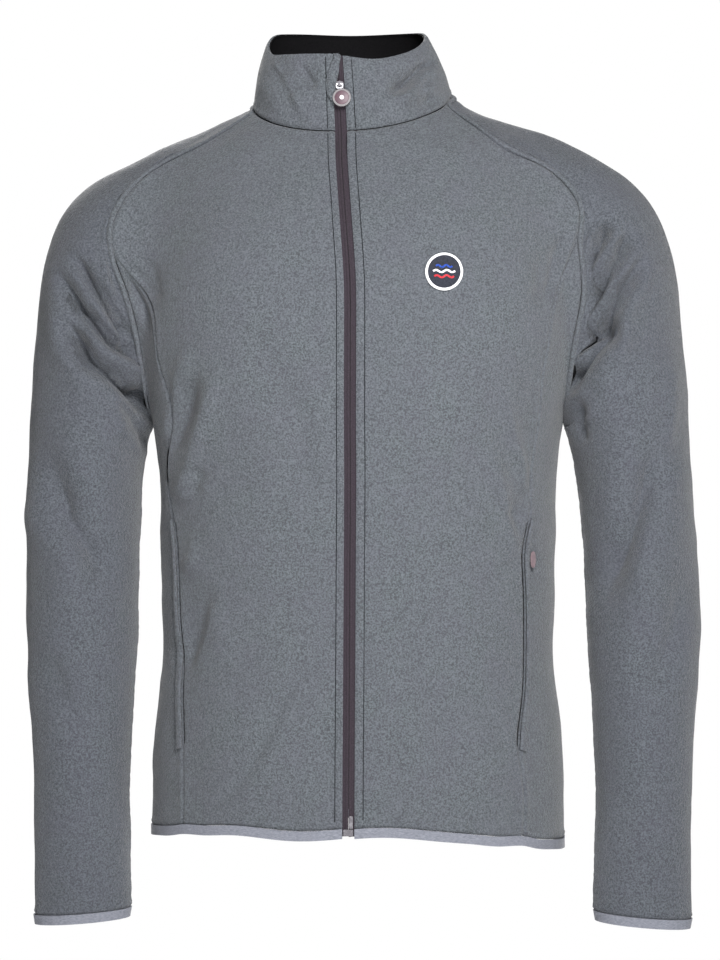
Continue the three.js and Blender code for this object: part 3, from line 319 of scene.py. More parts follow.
def places(cells, steps, edges=(True, True)):
    """Sample places along a line of cells, with closer ones beside an end that is a seam."""
    inside = list(np.arange(0, cells, 1 / steps)) + [cells]
    extra = [0.03, 0.07]
    if edges[0]:
        inside += extra
    if edges[1]:
        inside += [cells - t for t in extra]
    return np.array(sorted(inside))


def unit(vectors):
    return vectors / np.maximum(np.linalg.norm(vectors, axis=-1, keepdims=True), 1e-9)


def refine(grid, row_places, column_places, closed=False):
    """A finer grid's points, and the walls' normals there."""
    places_of = grid[..., :3]
    row_gaps = np.linalg.norm(np.diff(places_of, axis=0), axis=-1).mean(axis=1)
    wide = np.concatenate([places_of, places_of[:, :1]], axis=1) if closed else places_of
    column_gaps = np.linalg.norm(np.diff(wide, axis=1), axis=-1).mean(axis=0)
    rows = spline_matrix(row_gaps, row_places)
    columns = (closed_matrix if closed else spline_matrix)(column_gaps, column_places)
    fine = np.einsum("ri,ijk,cj->rck", rows, grid, columns)
    return fine[..., :3], unit(fine[..., 3:])


def normals_of(points, base, closed=False):
    """Normals of a moved grid. Where its cells are slivers, the wall's own normals count."""
    if closed:
        round_way = np.roll(points, -1, axis=1) - np.roll(points, 1, axis=1)
    else:
        round_way = np.gradient(points, axis=1)
    normal = unit(np.cross(round_way, np.gradient(points, axis=0)))
    along = np.sum(normal * base, axis=-1, keepdims=True)
    return np.where(np.abs(along) < 0.35, base, normal * np.sign(along))


def edge_distances(points):
    """Distance of each point from the grid's first and last row and its first and last column."""
    def along(axis):
        step = np.linalg.norm(np.diff(points, axis=axis), axis=-1)
        pad = [(0, 0), (0, 0)]
        pad[axis] = (1, 0)
        return np.cumsum(np.pad(step, pad), axis=axis)

    down, over = along(0), along(1)
    return down, down[-1:] - down, over, over[:, -1:] - over


# Folds: a line in the photograph's pixels, width, depth, the ridge on its lower side, and whether
# it goes on under the arm


FOLD_DEPTH = 1.35


def fold_field(folds, u, v, seed=3):
    """Sum of soft, uneven troughs along bent lines in a plane."""
    total = np.zeros_like(u)
    chance = random.Random(seed)
    for line, wide, deep, ridge, *runs_out in folds:
        best = np.full(u.shape, 1e9)
        share = np.zeros_like(u)
        side = np.zeros_like(u)
        legs = list(zip(line, line[1:]))
        for leg, ((x0, y0), (x1, y1)) in enumerate(legs):
            dx, dy = x1 - x0, y1 - y0
            t = np.clip(((u - x0) * dx + (v - y0) * dy) / (dx * dx + dy * dy), 0, 1)
            off_x, off_y = u - x0 - t * dx, v - y0 - t * dy
            far = np.hypot(off_x, off_y)
            nearer = far < best
            best = np.where(nearer, far, best)
            share = np.where(nearer, (leg + t) / len(legs), share)
            side = np.where(nearer, np.sign(off_x * dy - off_y * dx) * np.sign(dx or 1), side)
        wave = 1 + 0.22 * np.sin(share * chance.uniform(5, 9) + chance.uniform(0, 6))
        ends = ease(share / 0.3) * (1 if runs_out else ease((1 - share) / 0.3))
        off = best * side / (wide * wave)
        trough = 0.6 * np.exp(-(off / 0.65) ** 2) + 0.4 * np.exp(-(off / 1.6) ** 2)
        shape = -FOLD_DEPTH * deep * trough + ridge * np.exp(-((off - 1.7) / 1.0) ** 2)
        total += shape * ends * wave
    return total


def lumps(points, size, seed):
    """Gentle unevenness of the cloth, from a few waves of about one size."""
    chance = np.random.default_rng(seed)
    total = np.zeros(points.shape[:-1])
    for _ in range(9):
        way = chance.normal(size=3)
        way *= 2 * math.pi / (size * chance.uniform(0.7, 1.5)) / np.linalg.norm(way)
        total += np.sin(points @ way + chance.uniform(0, 6.3))
    return total / 4


def front_share(normal):
    """1 where the cloth faces the camera and 0 where it faces away."""
    return ease((-(normal @ AHEAD) + 0.15) / 0.4)


# Building meshes


def new_object(name, verts, faces, material, body="jacket"):
    mesh = bpy.data.meshes.new(name)
    mesh.from_pydata([tuple(p) for p in np.asarray(verts) * MM], [], faces)
    mesh.materials.append(material)
    for polygon in mesh.polygons:
        polygon.use_smooth = True
    obj = bpy.data.objects.new(name, mesh)
    bpy.context.scene.collection.objects.link(obj)
    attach(obj, body)
    return obj


def cloth_wall(name, points, normal, base, material, thick=CLOTH, closed=False, back=None):
    """A closed wall from its outer face, with the inner face straight behind it."""
    inner = points - base * thick
    rows, columns = points.shape[:2]
    verts = np.concatenate([points.reshape(-1, 3), inner.reshape(-1, 3)])
    half = rows * columns
    across = columns if closed else columns - 1
    i, j = np.meshgrid(np.arange(rows - 1), np.arange(across), indexing="ij")
    corners = [i * columns + j, i * columns + (j + 1) % columns]
    corners += [(i + 1) * columns + (j + 1) % columns, (i + 1) * columns + j]
    cells = np.stack(corners, axis=-1).reshape(-1, 4)
    a, b, c, d = (verts[cells[:, k]] for k in range(4))
    turned = np.sum(np.cross(c - a, d - b) * base.reshape(-1, 3)[cells].mean(axis=1), axis=1)
    if np.mean(turned > 0) < 0.5:
        cells, turned = cells[:, ::-1], -turned
    cells[turned < 0] = cells[turned < 0][:, ::-1]
    faces = [tuple(cell) for cell in cells.tolist()]
    faces += [tuple(cell) for cell in (cells[:, ::-1] + half).tolist()]

    rim = []
    for row in (0, rows - 1):
        rim += [(row * columns + k, row * columns + (k + 1) % columns) for k in range(across)]
    if not closed:
        for column in (0, columns - 1):
            rim += [(k * columns + column, (k + 1) * columns + column) for k in range(rows - 1)]
    forward = {edge for face in faces[:len(cells)] for edge in zip(face, face[1:] + face[:1])}
    for start, end in rim:
        if (start, end) in forward:
            start, end = end, start
        faces.append((start, end, half + end, half + start))
    obj = new_object(name, verts, faces, material)
    spread = np.zeros((len(obj.data.loops), 3))
    corner = np.concatenate([cells.reshape(-1), cells[:, ::-1].reshape(-1)])
    flat = normal.reshape(-1, 3)
    count = cells.size
    spread[:count] = flat[corner[:count]]
    spread[count:2 * count] = -flat[corner[count:]]
    obj.data.normals_split_custom_set(spread.tolist())
    if back is not None:
        obj.data.materials.append(back)
        marks = np.zeros(len(faces), dtype=np.int32)
        marks[len(cells):2 * len(cells)] = 1
        obj.data.polygons.foreach_set("material_index", marks)
    return obj


# The pieces' own looks


def px(*numbers):
    """A line of picture places from pairs of the photograph's pixels."""
    return from_pixels(list(zip(numbers[::2], numbers[1::2])))


SLEEVE_FOLDS = [
    (px(70, 252, 95, 288, 138, 338), 5.5, 13, 4, True),
    (px(52, 266, 76, 307, 116, 340, 142, 354), 6.5, 16, 5, True),
    (px(55, 312, 86, 358, 124, 383, 150, 404), 8, 16, 5, True),
    (px(106, 244, 112, 272, 122, 300, 134, 322), 3.5, 3, 2, True),
    (px(116, 400, 136, 419, 146, 441), 7, 6, 3, True),
    (px(48, 436, 55, 491, 66, 521, 83, 540, 100, 560, 110, 600), 14, 7, 4),
    (px(613, 216, 599, 243, 570, 297), 5, 11, 4, True),
    (px(635, 228, 621, 255, 602, 280, 568, 318), 6.5, 15, 5, True),
    (px(648, 246, 633, 278, 610, 304, 593, 330, 562, 352), 7.5, 15, 5, True),
    (px(626, 317, 599, 343, 566, 384), 8, 12, 5, True),
    (px(588, 216, 582, 250, 572, 285), 3.5, 4, 2, True),
    (px(579, 393, 578, 423, 586, 446), 6, 5, 3),
    (px(657, 441, 651, 474, 639, 512, 626, 545, 608, 579, 598, 613), 11, 7, 4),
    (px(671, 341, 671, 416, 666, 457), 8, -3, 0),
    (px(40, 640, 60, 690, 84, 730), 14, 3, 2),
    (px(690, 560, 672, 640, 650, 700), 14, 4, 2),
]
TORSO_FOLDS = [
    (px(117, 254, 128, 266, 140, 284, 153, 305), 3.5, 4, 2.5),
    (px(120, 264, 132, 286, 143, 306, 150, 330), 4, 4, 2),
    (px(136, 250, 150, 278, 160, 305), 9, 5, 0),
    (px(191, 333, 179, 383, 172, 416, 164, 449), 9, -5, 0),
    (px(221, 358, 199, 433, 186, 482, 179, 507), 10, -5, 0),
    (px(199, 358, 182, 424, 172, 457), 8, 5, 2),
    (px(202, 466, 191, 499), 8, 4, 1),
    (px(212, 579, 193, 644, 186, 674), 10, 4, 2),
    (px(219, 598, 206, 636, 195, 674), 8, -3, 0),
    (px(196, 529, 190, 582), 8, -3, 0),
    (px(502, 383, 513, 433, 523, 474, 529, 499), 8, -5, 0),
    (px(487, 441, 500, 491, 511, 524, 522, 560), 9, -5, 0),
    (px(509, 500, 515, 520, 519, 548), 6, 4, 1),
    (px(566, 228, 556, 266, 549, 305), 7, 6, 2),
    (px(548, 244, 540, 275, 540, 305), 10, 3, 1),
    (px(331, 637, 290, 690, 245, 775, 206, 819), 6, 1.6, 0.8),
    (px(190, 490, 300, 487, 420, 490, 520, 488), 7, 1.0, 0.6),
    (px(400, 600, 420, 680, 470, 790), 16, 2.5, 1),
    (px(250, 330, 300, 420, 310, 520), 20, 2.5, 1),
]
COLLAR_FOLDS = [
    (px(269, 50, 285, 78, 306, 119), 4.5, -3.5, 0),
    (px(278, 66, 296, 102), 6, 2.5, 0),
    (px(299, 62, 316, 92), 4, 3.5, 1.5),
    (px(438, 58, 420, 68, 404, 84, 386, 94), 5, 6, 5),
    (px(360, 74, 364, 100, 372, 124), 4, 2, 1),
    (px(410, 118, 426, 104, 436, 90), 7, 3, 2),
]
# From behind, by x and z
SLEEVE_FOLDS_BEHIND = [
    ([(-262, -140), (-242, -180), (-212, -215)], 8, 7, 5),
    ([(-280, -180), (-250, -225), (-208, -262)], 9, 9, 6),
    ([(-286, -230), (-262, -262), (-236, -290)], 8, 5, 3),
    ([(-284, -330), (-270, -372), (-228, -400)], 12, 8, 5),
    ([(-286, -400), (-266, -430), (-232, -452)], 10, 5, 3),
    ([(262, -135), (240, -170), (212, -205)], 8, 7, 5),
    ([(278, -170), (252, -220), (208, -258)], 9, 9, 6),
    ([(288, -240), (262, -270), (238, -292)], 8, 5, 3),
    ([(286, -320), (268, -366), (230, -396)], 12, 8, 5),
    ([(290, -396), (270, -424), (240, -446)], 10, 5, 3),
]
TORSO_FOLDS_BEHIND = [
    ([(-150, -220), (-120, -290), (-96, -340)], 11, 5, 4),
    ([(146, -215), (122, -280), (92, -345)], 11, 5, 4),
    ([(-90, -400), (0, -424), (90, -396)], 14, 4, 3),
    ([(-110, -452), (-10, -474), (96, -458)], 14, 4, 3),
    ([(-60, -520), (20, -536), (104, -520)], 12, 2, 1),
    ([(-130, -300), (-122, -370), (-128, -430)], 12, 3, 2),
]


def relief(points, normal, front, behind, seed, rough=0.5):
    """Height of folds and lumps along the normals."""
    u, v = seen(points)
    height = fold_field(front, u, v, seed) * front_share(normal)
    height += fold_field(behind, points[..., 0], points[..., 2], seed) * front_share(-normal)
    return height + rough * lumps(points, 46, seed) + 0.25 * rough * lumps(points, 17, seed + 1)


def seam_rise(far, along, ridge=0.8, groove=0.9, seed=1):
    """A seam's groove, the ridge beside it and the small puckers that it draws."""
    chance = random.Random(seed)
    pucker = sum(np.sin(along * 2 * math.pi / size + chance.uniform(0, 6)) for size in (7.3, 11.9, 19))
    rise = -groove * np.exp(-(far / 1.1) ** 2) + ridge * np.exp(-((far - 3.4) / 1.9) ** 2)
    return rise + 0.16 * pucker * np.exp(-far / 7) * ease(far / 2)


def piped(far, along, seed):
    """The raglan seam's groove, and the soft dip behind its cord."""
    return seam_rise(far, along, ridge=0, groove=1.4, seed=seed) - 0.7 * np.exp(-((far - 6.2) / 1.6) ** 2)


def soft_end(far, drop=0.8, reach=1.6):
    """A turned edge, such as a folded hem, that rounds off towards its end."""
    return -drop * np.exp(-(far / reach) ** 2)


def fine_grid(grid, steps, seams, closed, passes):
    """A wall's grid smoothed and drawn finer, with closer lines beside its seams."""
    grid = smoothed(grid, passes, closed)
    row_places = places(grid.shape[0] - 1, steps[0], (seams[0] is not None, seams[1] is not None))
    if closed:
        column_places = np.arange(0, grid.shape[1], 1 / steps[1])
    else:
        column_places = places(grid.shape[1] - 1, steps[1], (seams[2] is not None, seams[3] is not None))
    return refine(grid, row_places, column_places, closed)


def relaxed(points, base, passes, closed):
    """Spreads a fine grid's points evenly along its surface, where the CAD grid is pinched."""
    points, base = points.copy(), base.copy()
    inner = slice(1, -1)
    sides = slice(None) if closed else slice(1, -1)
    for _ in range(passes):
        for_all = []
        for field in (points, base):
            if closed:
                across = (np.roll(field, 1, axis=1) + np.roll(field, -1, axis=1))[inner]
                along = field[:-2] + field[2:]
            else:
                across = field[inner, :-2] + field[inner, 2:]
                along = field[:-2, sides] + field[2:, sides]
            for_all.append((across + along) / 4)
        move = for_all[0] - points[inner, sides]
        up = base[inner, sides]
        points[inner, sides] += 0.7 * (move - np.sum(move * up, axis=-1, keepdims=True) * up)
        base[inner, sides] = unit(0.5 * up + 0.5 * for_all[1])
    return points, base


def edge_relief(seams, distances, seed):
    """Height of seams and turned edges. seams names what is at the first and last row and column."""
    first, last, left, right = distances
    height = np.zeros_like(first)
    for far, along, kind in zip((first, last, left, right), (left, left, first, first), seams):
        if kind == "seam":
            height += seam_rise(far, along, seed=seed)
        elif kind == "piped":
            height += piped(far, along, seed)
        elif kind == "turned":
            height += soft_end(far)
    return height


def panel(name, grid, material, steps, seams, folds, seed, closed=False, thick=CLOTH, extra=None, rough=0.5,
          passes=6, back=None, relax=0):
    """A cloth piece, with its surface: points, normals and the distances of its points from its edges."""
    points, base = fine_grid(grid, steps, seams, closed, passes)
    points, base = relaxed(points, base, relax, closed)
    distances = edge_distances(points)
    height = relief(points, base, folds[0], folds[1], seed, rough)
    for far, kind in zip(distances, seams):
        if kind is not None:
            height *= ease(far / 14)
    height += edge_relief(seams, distances, seed)
    if extra is not None:
        height += extra(points, distances)
    points = points + base * height[..., None]
    normal = normals_of(points, base, closed)
    obj = cloth_wall(name, points, normal, base, material, thick, closed, back)
    return obj, (points, normal, distances)


# Materials


def linear(red, green, blue):
    """A colour as read off a picture, 0 to 255, in Blender's linear values."""
    def one(value):
        share = value / 255
        return share / 12.92 if share <= 0.04045 else ((share + 0.055) / 1.055) ** 2.4
    return (one(red), one(green), one(blue), 1)


class Nodes:
    """A material's node tree, with short ways to add and join nodes."""

    def __init__(self, name):
        self.material = bpy.data.materials.new(name)
        self.material.use_nodes = True
        self.tree = self.material.node_tree
        self.shader = self.tree.nodes["Principled BSDF"]
        self.place = self.add("ShaderNodeTexCoord").outputs["Object"]

    def add(self, kind, **settings):
        node = self.tree.nodes.new(kind)
        for key, value in settings.items():
            setattr(node, key, value)
        return node

    def link(self, output, node, socket):
        self.tree.links.new(output, node.inputs[socket])

    def noise(self, scale, detail=2, rough=0.5, stretch=None):
        node = self.add("ShaderNodeTexNoise")
        node.inputs["Scale"].default_value = scale
        node.inputs["Detail"].default_value = detail
        node.inputs["Roughness"].default_value = rough
        source = self.place
        if stretch is not None:
            mapping = self.add("ShaderNodeMapping")
            mapping.inputs["Scale"].default_value = stretch
            self.link(source, mapping, "Vector")
            source = mapping.outputs["Vector"]
        self.link(source, node, "Vector")
        return node.outputs["Fac"]

    def ramp(self, value, stops):
        node = self.add("ShaderNodeValToRGB")
        ramp = node.color_ramp
        while len(ramp.elements) < len(stops):
            ramp.elements.new(0.5)
        for element, (place, colour) in zip(ramp.elements, stops):
            element.position = place
            element.color = colour
        self.link(value, node, "Fac")
        return node.outputs["Color"]

    def mix(self, share, first, second, kind="MIX"):
        node = self.add("ShaderNodeMix", data_type="RGBA", blend_type=kind)
        for value, number in ((share, 0), (first, 6), (second, 7)):
            if hasattr(value, "links"):
                self.tree.links.new(value, node.inputs[number])
            else:
                node.inputs[number].default_value = value
        return node.outputs[2]

    def bump(self, value, strength, distance):
        node = self.add("ShaderNodeBump")
        node.inputs["Strength"].default_value = strength
        node.inputs["Distance"].default_value = distance
        self.link(value, node, "Height")
        previous = self.shader.inputs["Normal"]
        if previous.links:
            self.link(previous.links[0].from_socket, node, "Normal")
        self.link(node.outputs["Normal"], self.shader, "Normal")

    def finish(self, colour, roughness, metallic=0.0, sheen=0.0, specular=0.5):
        if hasattr(colour, "links"):
            self.link(colour, self.shader, "Base Color")
        else:
            self.shader.inputs["Base Color"].default_value = colour
        self.shader.inputs["Roughness"].default_value = roughness
        self.shader.inputs["Metallic"].default_value = metallic
        self.shader.inputs["Specular IOR Level"].default_value = specular
        self.shader.inputs["Sheen Weight"].default_value = sheen
        self.shader.inputs["Sheen Roughness"].default_value = 0.4
        return self.material


def fleece(name, dark, light, tint):
    """Short-nap fleece: a grey heather with a faint tint in patches and a matt, fuzzy grain."""
    nodes = Nodes(name)
    grain = nodes.noise(640, 3, 0.65)
    colour = nodes.ramp(grain, [(0.38, dark), (0.62, light)])
    patches = nodes.ramp(nodes.noise(30, 4, 0.7), [(0.3, (0, 0, 0, 1)), (0.75, (1, 1, 1, 1))])
    colour = nodes.mix(patches, colour, nodes.mix(0.35, colour, tint))
    nodes.bump(nodes.noise(430, 2, 0.6), 1.0, 0.0016)
    nodes.bump(nodes.noise(1100, 2, 0.6), 1.0, 0.0008)
    return nodes.finish(colour, 0.96, sheen=0.14, specular=0.15)


def knit(name, dark, light, scale, ribs=(1, 1, 1), sheen=0.1):
    """Smooth or ribbed knit, for the inner collar, the tapes and the bindings."""
    nodes = Nodes(name)
    weave = nodes.noise(scale, 2, 0.5, stretch=ribs)
    colour = nodes.ramp(weave, [(0.32, dark), (0.68, light)])
    nodes.bump(weave, 0.5, 0.0005)
    return nodes.finish(colour, 0.9, sheen=sheen, specular=0.1)


def hard(name, colour, worn, roughness, metallic):
    """Metal or moulded plastic, a little uneven and rubbed."""
    nodes = Nodes(name)
    rubbed = nodes.ramp(nodes.noise(300, 4, 0.6), [(0.45, colour), (0.75, worn)])
    nodes.bump(nodes.noise(700, 2, 0.5), 0.15, 0.0003)
    return nodes.finish(rubbed, roughness, metallic)


# Small pieces


def beads(name, line, normal, long, wide, tall, gap, material, body="jacket"):
    """Stitches along a line: small pointed lozenges that stand a little proud."""
    steps = np.linalg.norm(np.diff(line, axis=0), axis=1)
    travelled = np.concatenate([[0], np.cumsum(steps)])
    count = int(travelled[-1] / (long + gap))
    verts, faces = [], []
    for k in range(count):
        start = k * (long + gap)
        ends = [np.array([np.interp(start + t * long, travelled, line[:, axis]) for axis in range(3)])
                for t in (0, 0.5, 1)]
        up = np.array([np.interp(start + long / 2, travelled, normal[:, axis]) for axis in range(3)])
        along = ends[2] - ends[0]
        side = np.cross(along, up)
        side *= wide / 2 / max(np.linalg.norm(side), 1e-9)
        base = len(verts)
        verts += [ends[0], ends[2], ends[1] + side, ends[1] - side, ends[1] + up * tall, ends[1] - up * tall]
        for a, b, c in ((0, 2, 4), (2, 1, 4), (1, 3, 4), (3, 0, 4), (2, 0, 5), (1, 2, 5), (3, 1, 5), (0, 3, 5)):
            faces.append((base + a, base + b, base + c))
    return new_object(name, verts, faces, material, body)


def beside(surface, far, last=False, rows=slice(None)):
    """A line on a sheet at a distance from its first or last column, with the normals along it."""
    points, normal, distances = surface
    over = distances[3 if last else 2]
    line, ups = [], []
    for place, up, distance in zip(points[rows], normal[rows], over[rows]):
        order = slice(None, None, -1) if last else slice(None)
        line.append([np.interp(far, distance[order], place[order, axis]) for axis in range(3)])
        ups.append([np.interp(far, distance[order], up[order, axis]) for axis in range(3)])
    return np.array(line), np.array(ups)


def turned_solid(name, profile, sides, material, place, body="jacket", tilt=0):
    """A round piece: a profile of (radius, out) spun about an axis that points at the viewer."""
    verts, faces = [], []
    for radius, out in profile:
        for k in range(sides):
            turn = 2 * math.pi * k / sides
            verts.append((radius * math.cos(turn), -out, radius * math.sin(turn)))
    for i in range(len(profile) - 1):
        for k in range(sides):
            a, b = i * sides + k, i * sides + (k + 1) % sides
            faces.append((a, b, b + sides, a + sides))
    faces.append(tuple(range(sides))[::-1])
    faces.append(tuple(range((len(profile) - 1) * sides, len(profile) * sides)))
    turn = Matrix.Rotation(tilt, 3, "X")
    verts = [np.array(turn @ Vector(v)) + np.array(place) for v in verts]
    return new_object(name, verts, faces, material, body)


def tube(name, line, radius, sides, material, body="jacket"):
    """A round wire along a closed line of points."""
    line = np.array(line, float)
    count = len(line)
    verts, faces = [], []
    for k, point in enumerate(line):
        along = line[(k + 1) % count] - line[k - 1]
        along /= np.linalg.norm(along)
        first = np.cross(along, [0, 1, 0.01])
        first /= np.linalg.norm(first)
        second = np.cross(along, first)
        for s in range(sides):
            turn = 2 * math.pi * s / sides
            verts.append(point + radius * (first * math.cos(turn) + second * math.sin(turn)))
    for k in range(count):
        for s in range(sides):
            a, b = k * sides + s, k * sides + (s + 1) % sides
            c, d = (k + 1) % count * sides + (s + 1) % sides, (k + 1) % count * sides + s
            faces.append((a, b, c, d))
    return new_object(name, verts, faces, material, body)


def rod(name, line, ups, radius, material, body="jacket", sides=8, flat=1.0):
    """A cord along an open line, with closed ends. flat is its height over its width."""
    along = unit(np.gradient(line, axis=0))
    first = unit(np.cross(along, ups))
    second = np.cross(along, first)
    verts, faces = [], []
    for point, a, b in zip(line, first, second):
        for k in range(sides):
            turn = 2 * math.pi * k / sides
            verts.append(point + radius * (a * math.cos(turn) + flat * b * math.sin(turn)))
    for i in range(len(line) - 1):
        for k in range(sides):
            a, b = i * sides + k, i * sides + (k + 1) % sides
            faces.append((a, b, b + sides, a + sides))
    faces.append(tuple(range(sides))[::-1])
    faces.append(tuple(range((len(line) - 1) * sides, len(line) * sides)))
    return new_object(name, verts, faces, material, body)


# The jacket

bpy.ops.wm.read_factory_settings(use_empty=True)
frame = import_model()

GREY_DARK = linear(54, 57, 60)
GREY_LIGHT = linear(84, 89, 93)
LAVENDER = linear(74, 72, 82)
fleece_body = fleece("fleece_body", GREY_DARK, GREY_LIGHT, LAVENDER)
# The sleeves' fleece is the body's fleece made darker: painted shade, for the shade that the sleeves lie in
fleece_sleeve_painted_shade = fleece("fleece_sleeve_painted_shade", linear(49, 52, 56), linear(79, 83, 88), linear(67, 66, 76))
# The inner collar is a dark knit. Its colour is made darker still, nearly black, as painted shade for the shade
# inside the collar and the jacket
dark_inner_cloth_and_painted_shade = knit("dark_inner_cloth_and_painted_shade", linear(5, 5, 6), linear(12, 11, 13), 900, sheen=0.0)
binding_cloth = knit("elastic_binding", linear(86, 88, 95), linear(108, 110, 118), 420, ribs=(1, 1, 4))
tape_cloth = knit("zip_tape", linear(32, 27, 32), linear(50, 44, 50), 700, ribs=(1, 1, 5))
thread = knit("thread", linear(18, 19, 21), linear(32, 34, 37), 900, sheen=0.0)
white_thread = knit("white_embroidery", linear(196, 196, 198), linear(226, 226, 228), 800)
badge_cloth = knit("badge_weave", linear(30, 32, 38), linear(44, 46, 54), 1000)
blue_thread = knit("blue_embroidery", linear(30, 52, 120), linear(48, 74, 150), 800)
red_thread = knit("red_embroidery", linear(150, 36, 44), linear(176, 56, 62), 800)
steel = hard("plated_metal", linear(150, 150, 155), linear(104, 104, 110), 0.35, 0.9)
dark_metal = hard("dark_metal", linear(62, 60, 64), linear(90, 88, 92), 0.42, 0.6)
tab_plastic = hard("tab_plastic", linear(84, 80, 82), linear(70, 66, 69), 0.45, 0.1)
rose_plastic = hard("tab_middle", linear(66, 42, 52), linear(56, 38, 47), 0.5, 0.0)
pocket_plastic = hard("pocket_pull_plastic", linear(108, 92, 96), linear(86, 76, 80), 0.5, 0.0)

SIDES = {"right": -1, "left": 1}
torso_folds = (TORSO_FOLDS, TORSO_FOLDS_BEHIND)
arm_folds = (SLEEVE_FOLDS, SLEEVE_FOLDS_BEHIND)
made = {}
surfaces = {}


def record(name, result, *nodes, slot="fleece"):
    obj, surface = result
    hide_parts(*nodes)
    made[name] = obj
    surfaces[name] = surface


def groove(far, depth, wide):
    return -depth * np.exp(-(far / wide) ** 2)


def pocket_share(points):
    """1 along the pocket's mouth, 0 above and below it."""
    z = points[..., 2]
    return ease((z - POCKET[0]) / 6) * ease((POCKET[1] - z) / 6)


def quilted(far, at):
    """A topstitched line, with the cloth's edge swelling a little between it and the zip."""
    return groove(far - at, 0.9, 0.9) + 0.5 * np.exp(-((far - at / 2) / (at / 3)) ** 2)


for side, sign in SIDES.items():
    grid = open_grid(f"front_{side}", (0, -130, -662), (150 * sign, -90, -662))

    def front_edges(points, distances):
        slit = groove(distances[3], 2.2, 2.6) * pocket_share(points)
        return quilted(distances[2], STITCH_LINE[side]) + slit

    record(f"front_{side}", panel(
        f"front_{side}_cloth", grid, fleece_body, (7, 8), ("seam", "seam", "turned", "seam"),
        torso_folds, 11 + sign, extra=front_edges, back=dark_inner_cloth_and_painted_shade), f"front_{side}")
    grid = open_grid(f"side_{side}", (150 * sign, -88, -662), (150 * sign, 88, -665))
    record(f"side_{side}", panel(
        f"side_{side}_cloth", grid, fleece_body, (7, 6), ("seam", "seam", "seam", "seam"),
        torso_folds, 21 + sign, back=dark_inner_cloth_and_painted_shade, relax=30), f"side_{side}")
    grid = ring_grid(f"sleeve_{side}", (188 * sign, 4, -286))

    def underarm(points, distances):
        first, _, left, right = distances
        far = np.minimum(left, right + 3)
        return seam_rise(far, first, ridge=0.5, groove=0.8, seed=5) * ease(first / 20)

    record(f"sleeve_{side}", panel(
        f"sleeve_{side}_cloth", grid, fleece_sleeve_painted_shade, (8, 7), ("piped", "seam", None, None),
        arm_folds, 31 + sign, closed=True, extra=underarm, back=dark_inner_cloth_and_painted_shade, relax=60), f"sleeve_{side}")
    grid = ring_grid(f"cuff_binding_{side}", (215 * sign, -35, -749), thick=3)
    record(f"cuff_{side}", panel(
        f"cuff_binding_{side}_knit", grid, binding_cloth, (8, 6), (None, None, None, None),
        ([], []), 41, closed=True, thick=3, rough=0.3), f"cuff_binding_{side}", slot="binding")

grid = open_grid("back", (-150, 87, -665), (150, 87, -665))
record("back", panel("back_cloth", grid, fleece_body, (7, 7), ("seam", "seam", "seam", "seam"),
                     torso_folds, 51, back=dark_inner_cloth_and_painted_shade), "back")


def collar_edges(points, distances):
    return quilted(distances[2], STITCH_LINE["right"]) + quilted(distances[3], STITCH_LINE["left"])


grid = open_grid("collar", (-24, -73, -28), (-6, -73, -28))
record("collar", panel("collar_cloth", grid, fleece_body, (8, 7), ("seam", "turned", "turned", "turned"),
                       (COLLAR_FOLDS, []), 61, extra=collar_edges, passes=2, back=dark_inner_cloth_and_painted_shade), "collar")
grid = open_grid("hem_binding", (-8, -130, -673), (8, -130, -673), thick=3)
record("hem", panel("hem_binding_knit", grid, binding_cloth, (8, 7), (None, None, None, None),
                    ([], []), 71, thick=3, rough=0.3), "hem_binding", slot="binding")


def beside_row(surface, far):
    """A closed line on a tube of cloth at a distance from its first row, with the normals along it."""
    points, normal, distances = surface
    over = distances[0]
    line, ups = [], []
    for j in [*range(points.shape[1]), 0]:
        line.append([np.interp(far, over[:, j], points[:, j, axis]) for axis in range(3)])
        ups.append([np.interp(far, over[:, j], normal[:, j, axis]) for axis in range(3)])
    return np.array(line), unit(np.array(ups))


def evened(line, passes):
    """A line with its small bends taken out. Where it is closed it stays closed."""
    closed = np.linalg.norm(line[0] - line[-1]) < 0.01
    line = line.copy()
    for _ in range(passes):
        if closed:
            line[0] = line[-1] = (line[-2] + 2 * line[0] + line[1]) / 4
        line[1:-1] = (line[:-2] + 2 * line[1:-1] + line[2:]) / 4
    return line


# A cord of sewing thread lies in each seam, just below its groove

SEAM_CORD = 1.2
SEAM_DEPTH = 1.7
# The raglan seam's allowance stands up under the sleeve's edge like a cord
PIPING_IN = 2.9
PIPING_UP = 0.1
PIPING_RADIUS = 2.2


def seam_cord(name, place, normal, material=thread):
    line = place - unit(normal) * SEAM_DEPTH
    for _ in range(3):
        line[1:-1] = (line[:-2] + 2 * line[1:-1] + line[2:]) / 4
    rod(name, line, normal, SEAM_CORD, material, sides=6)


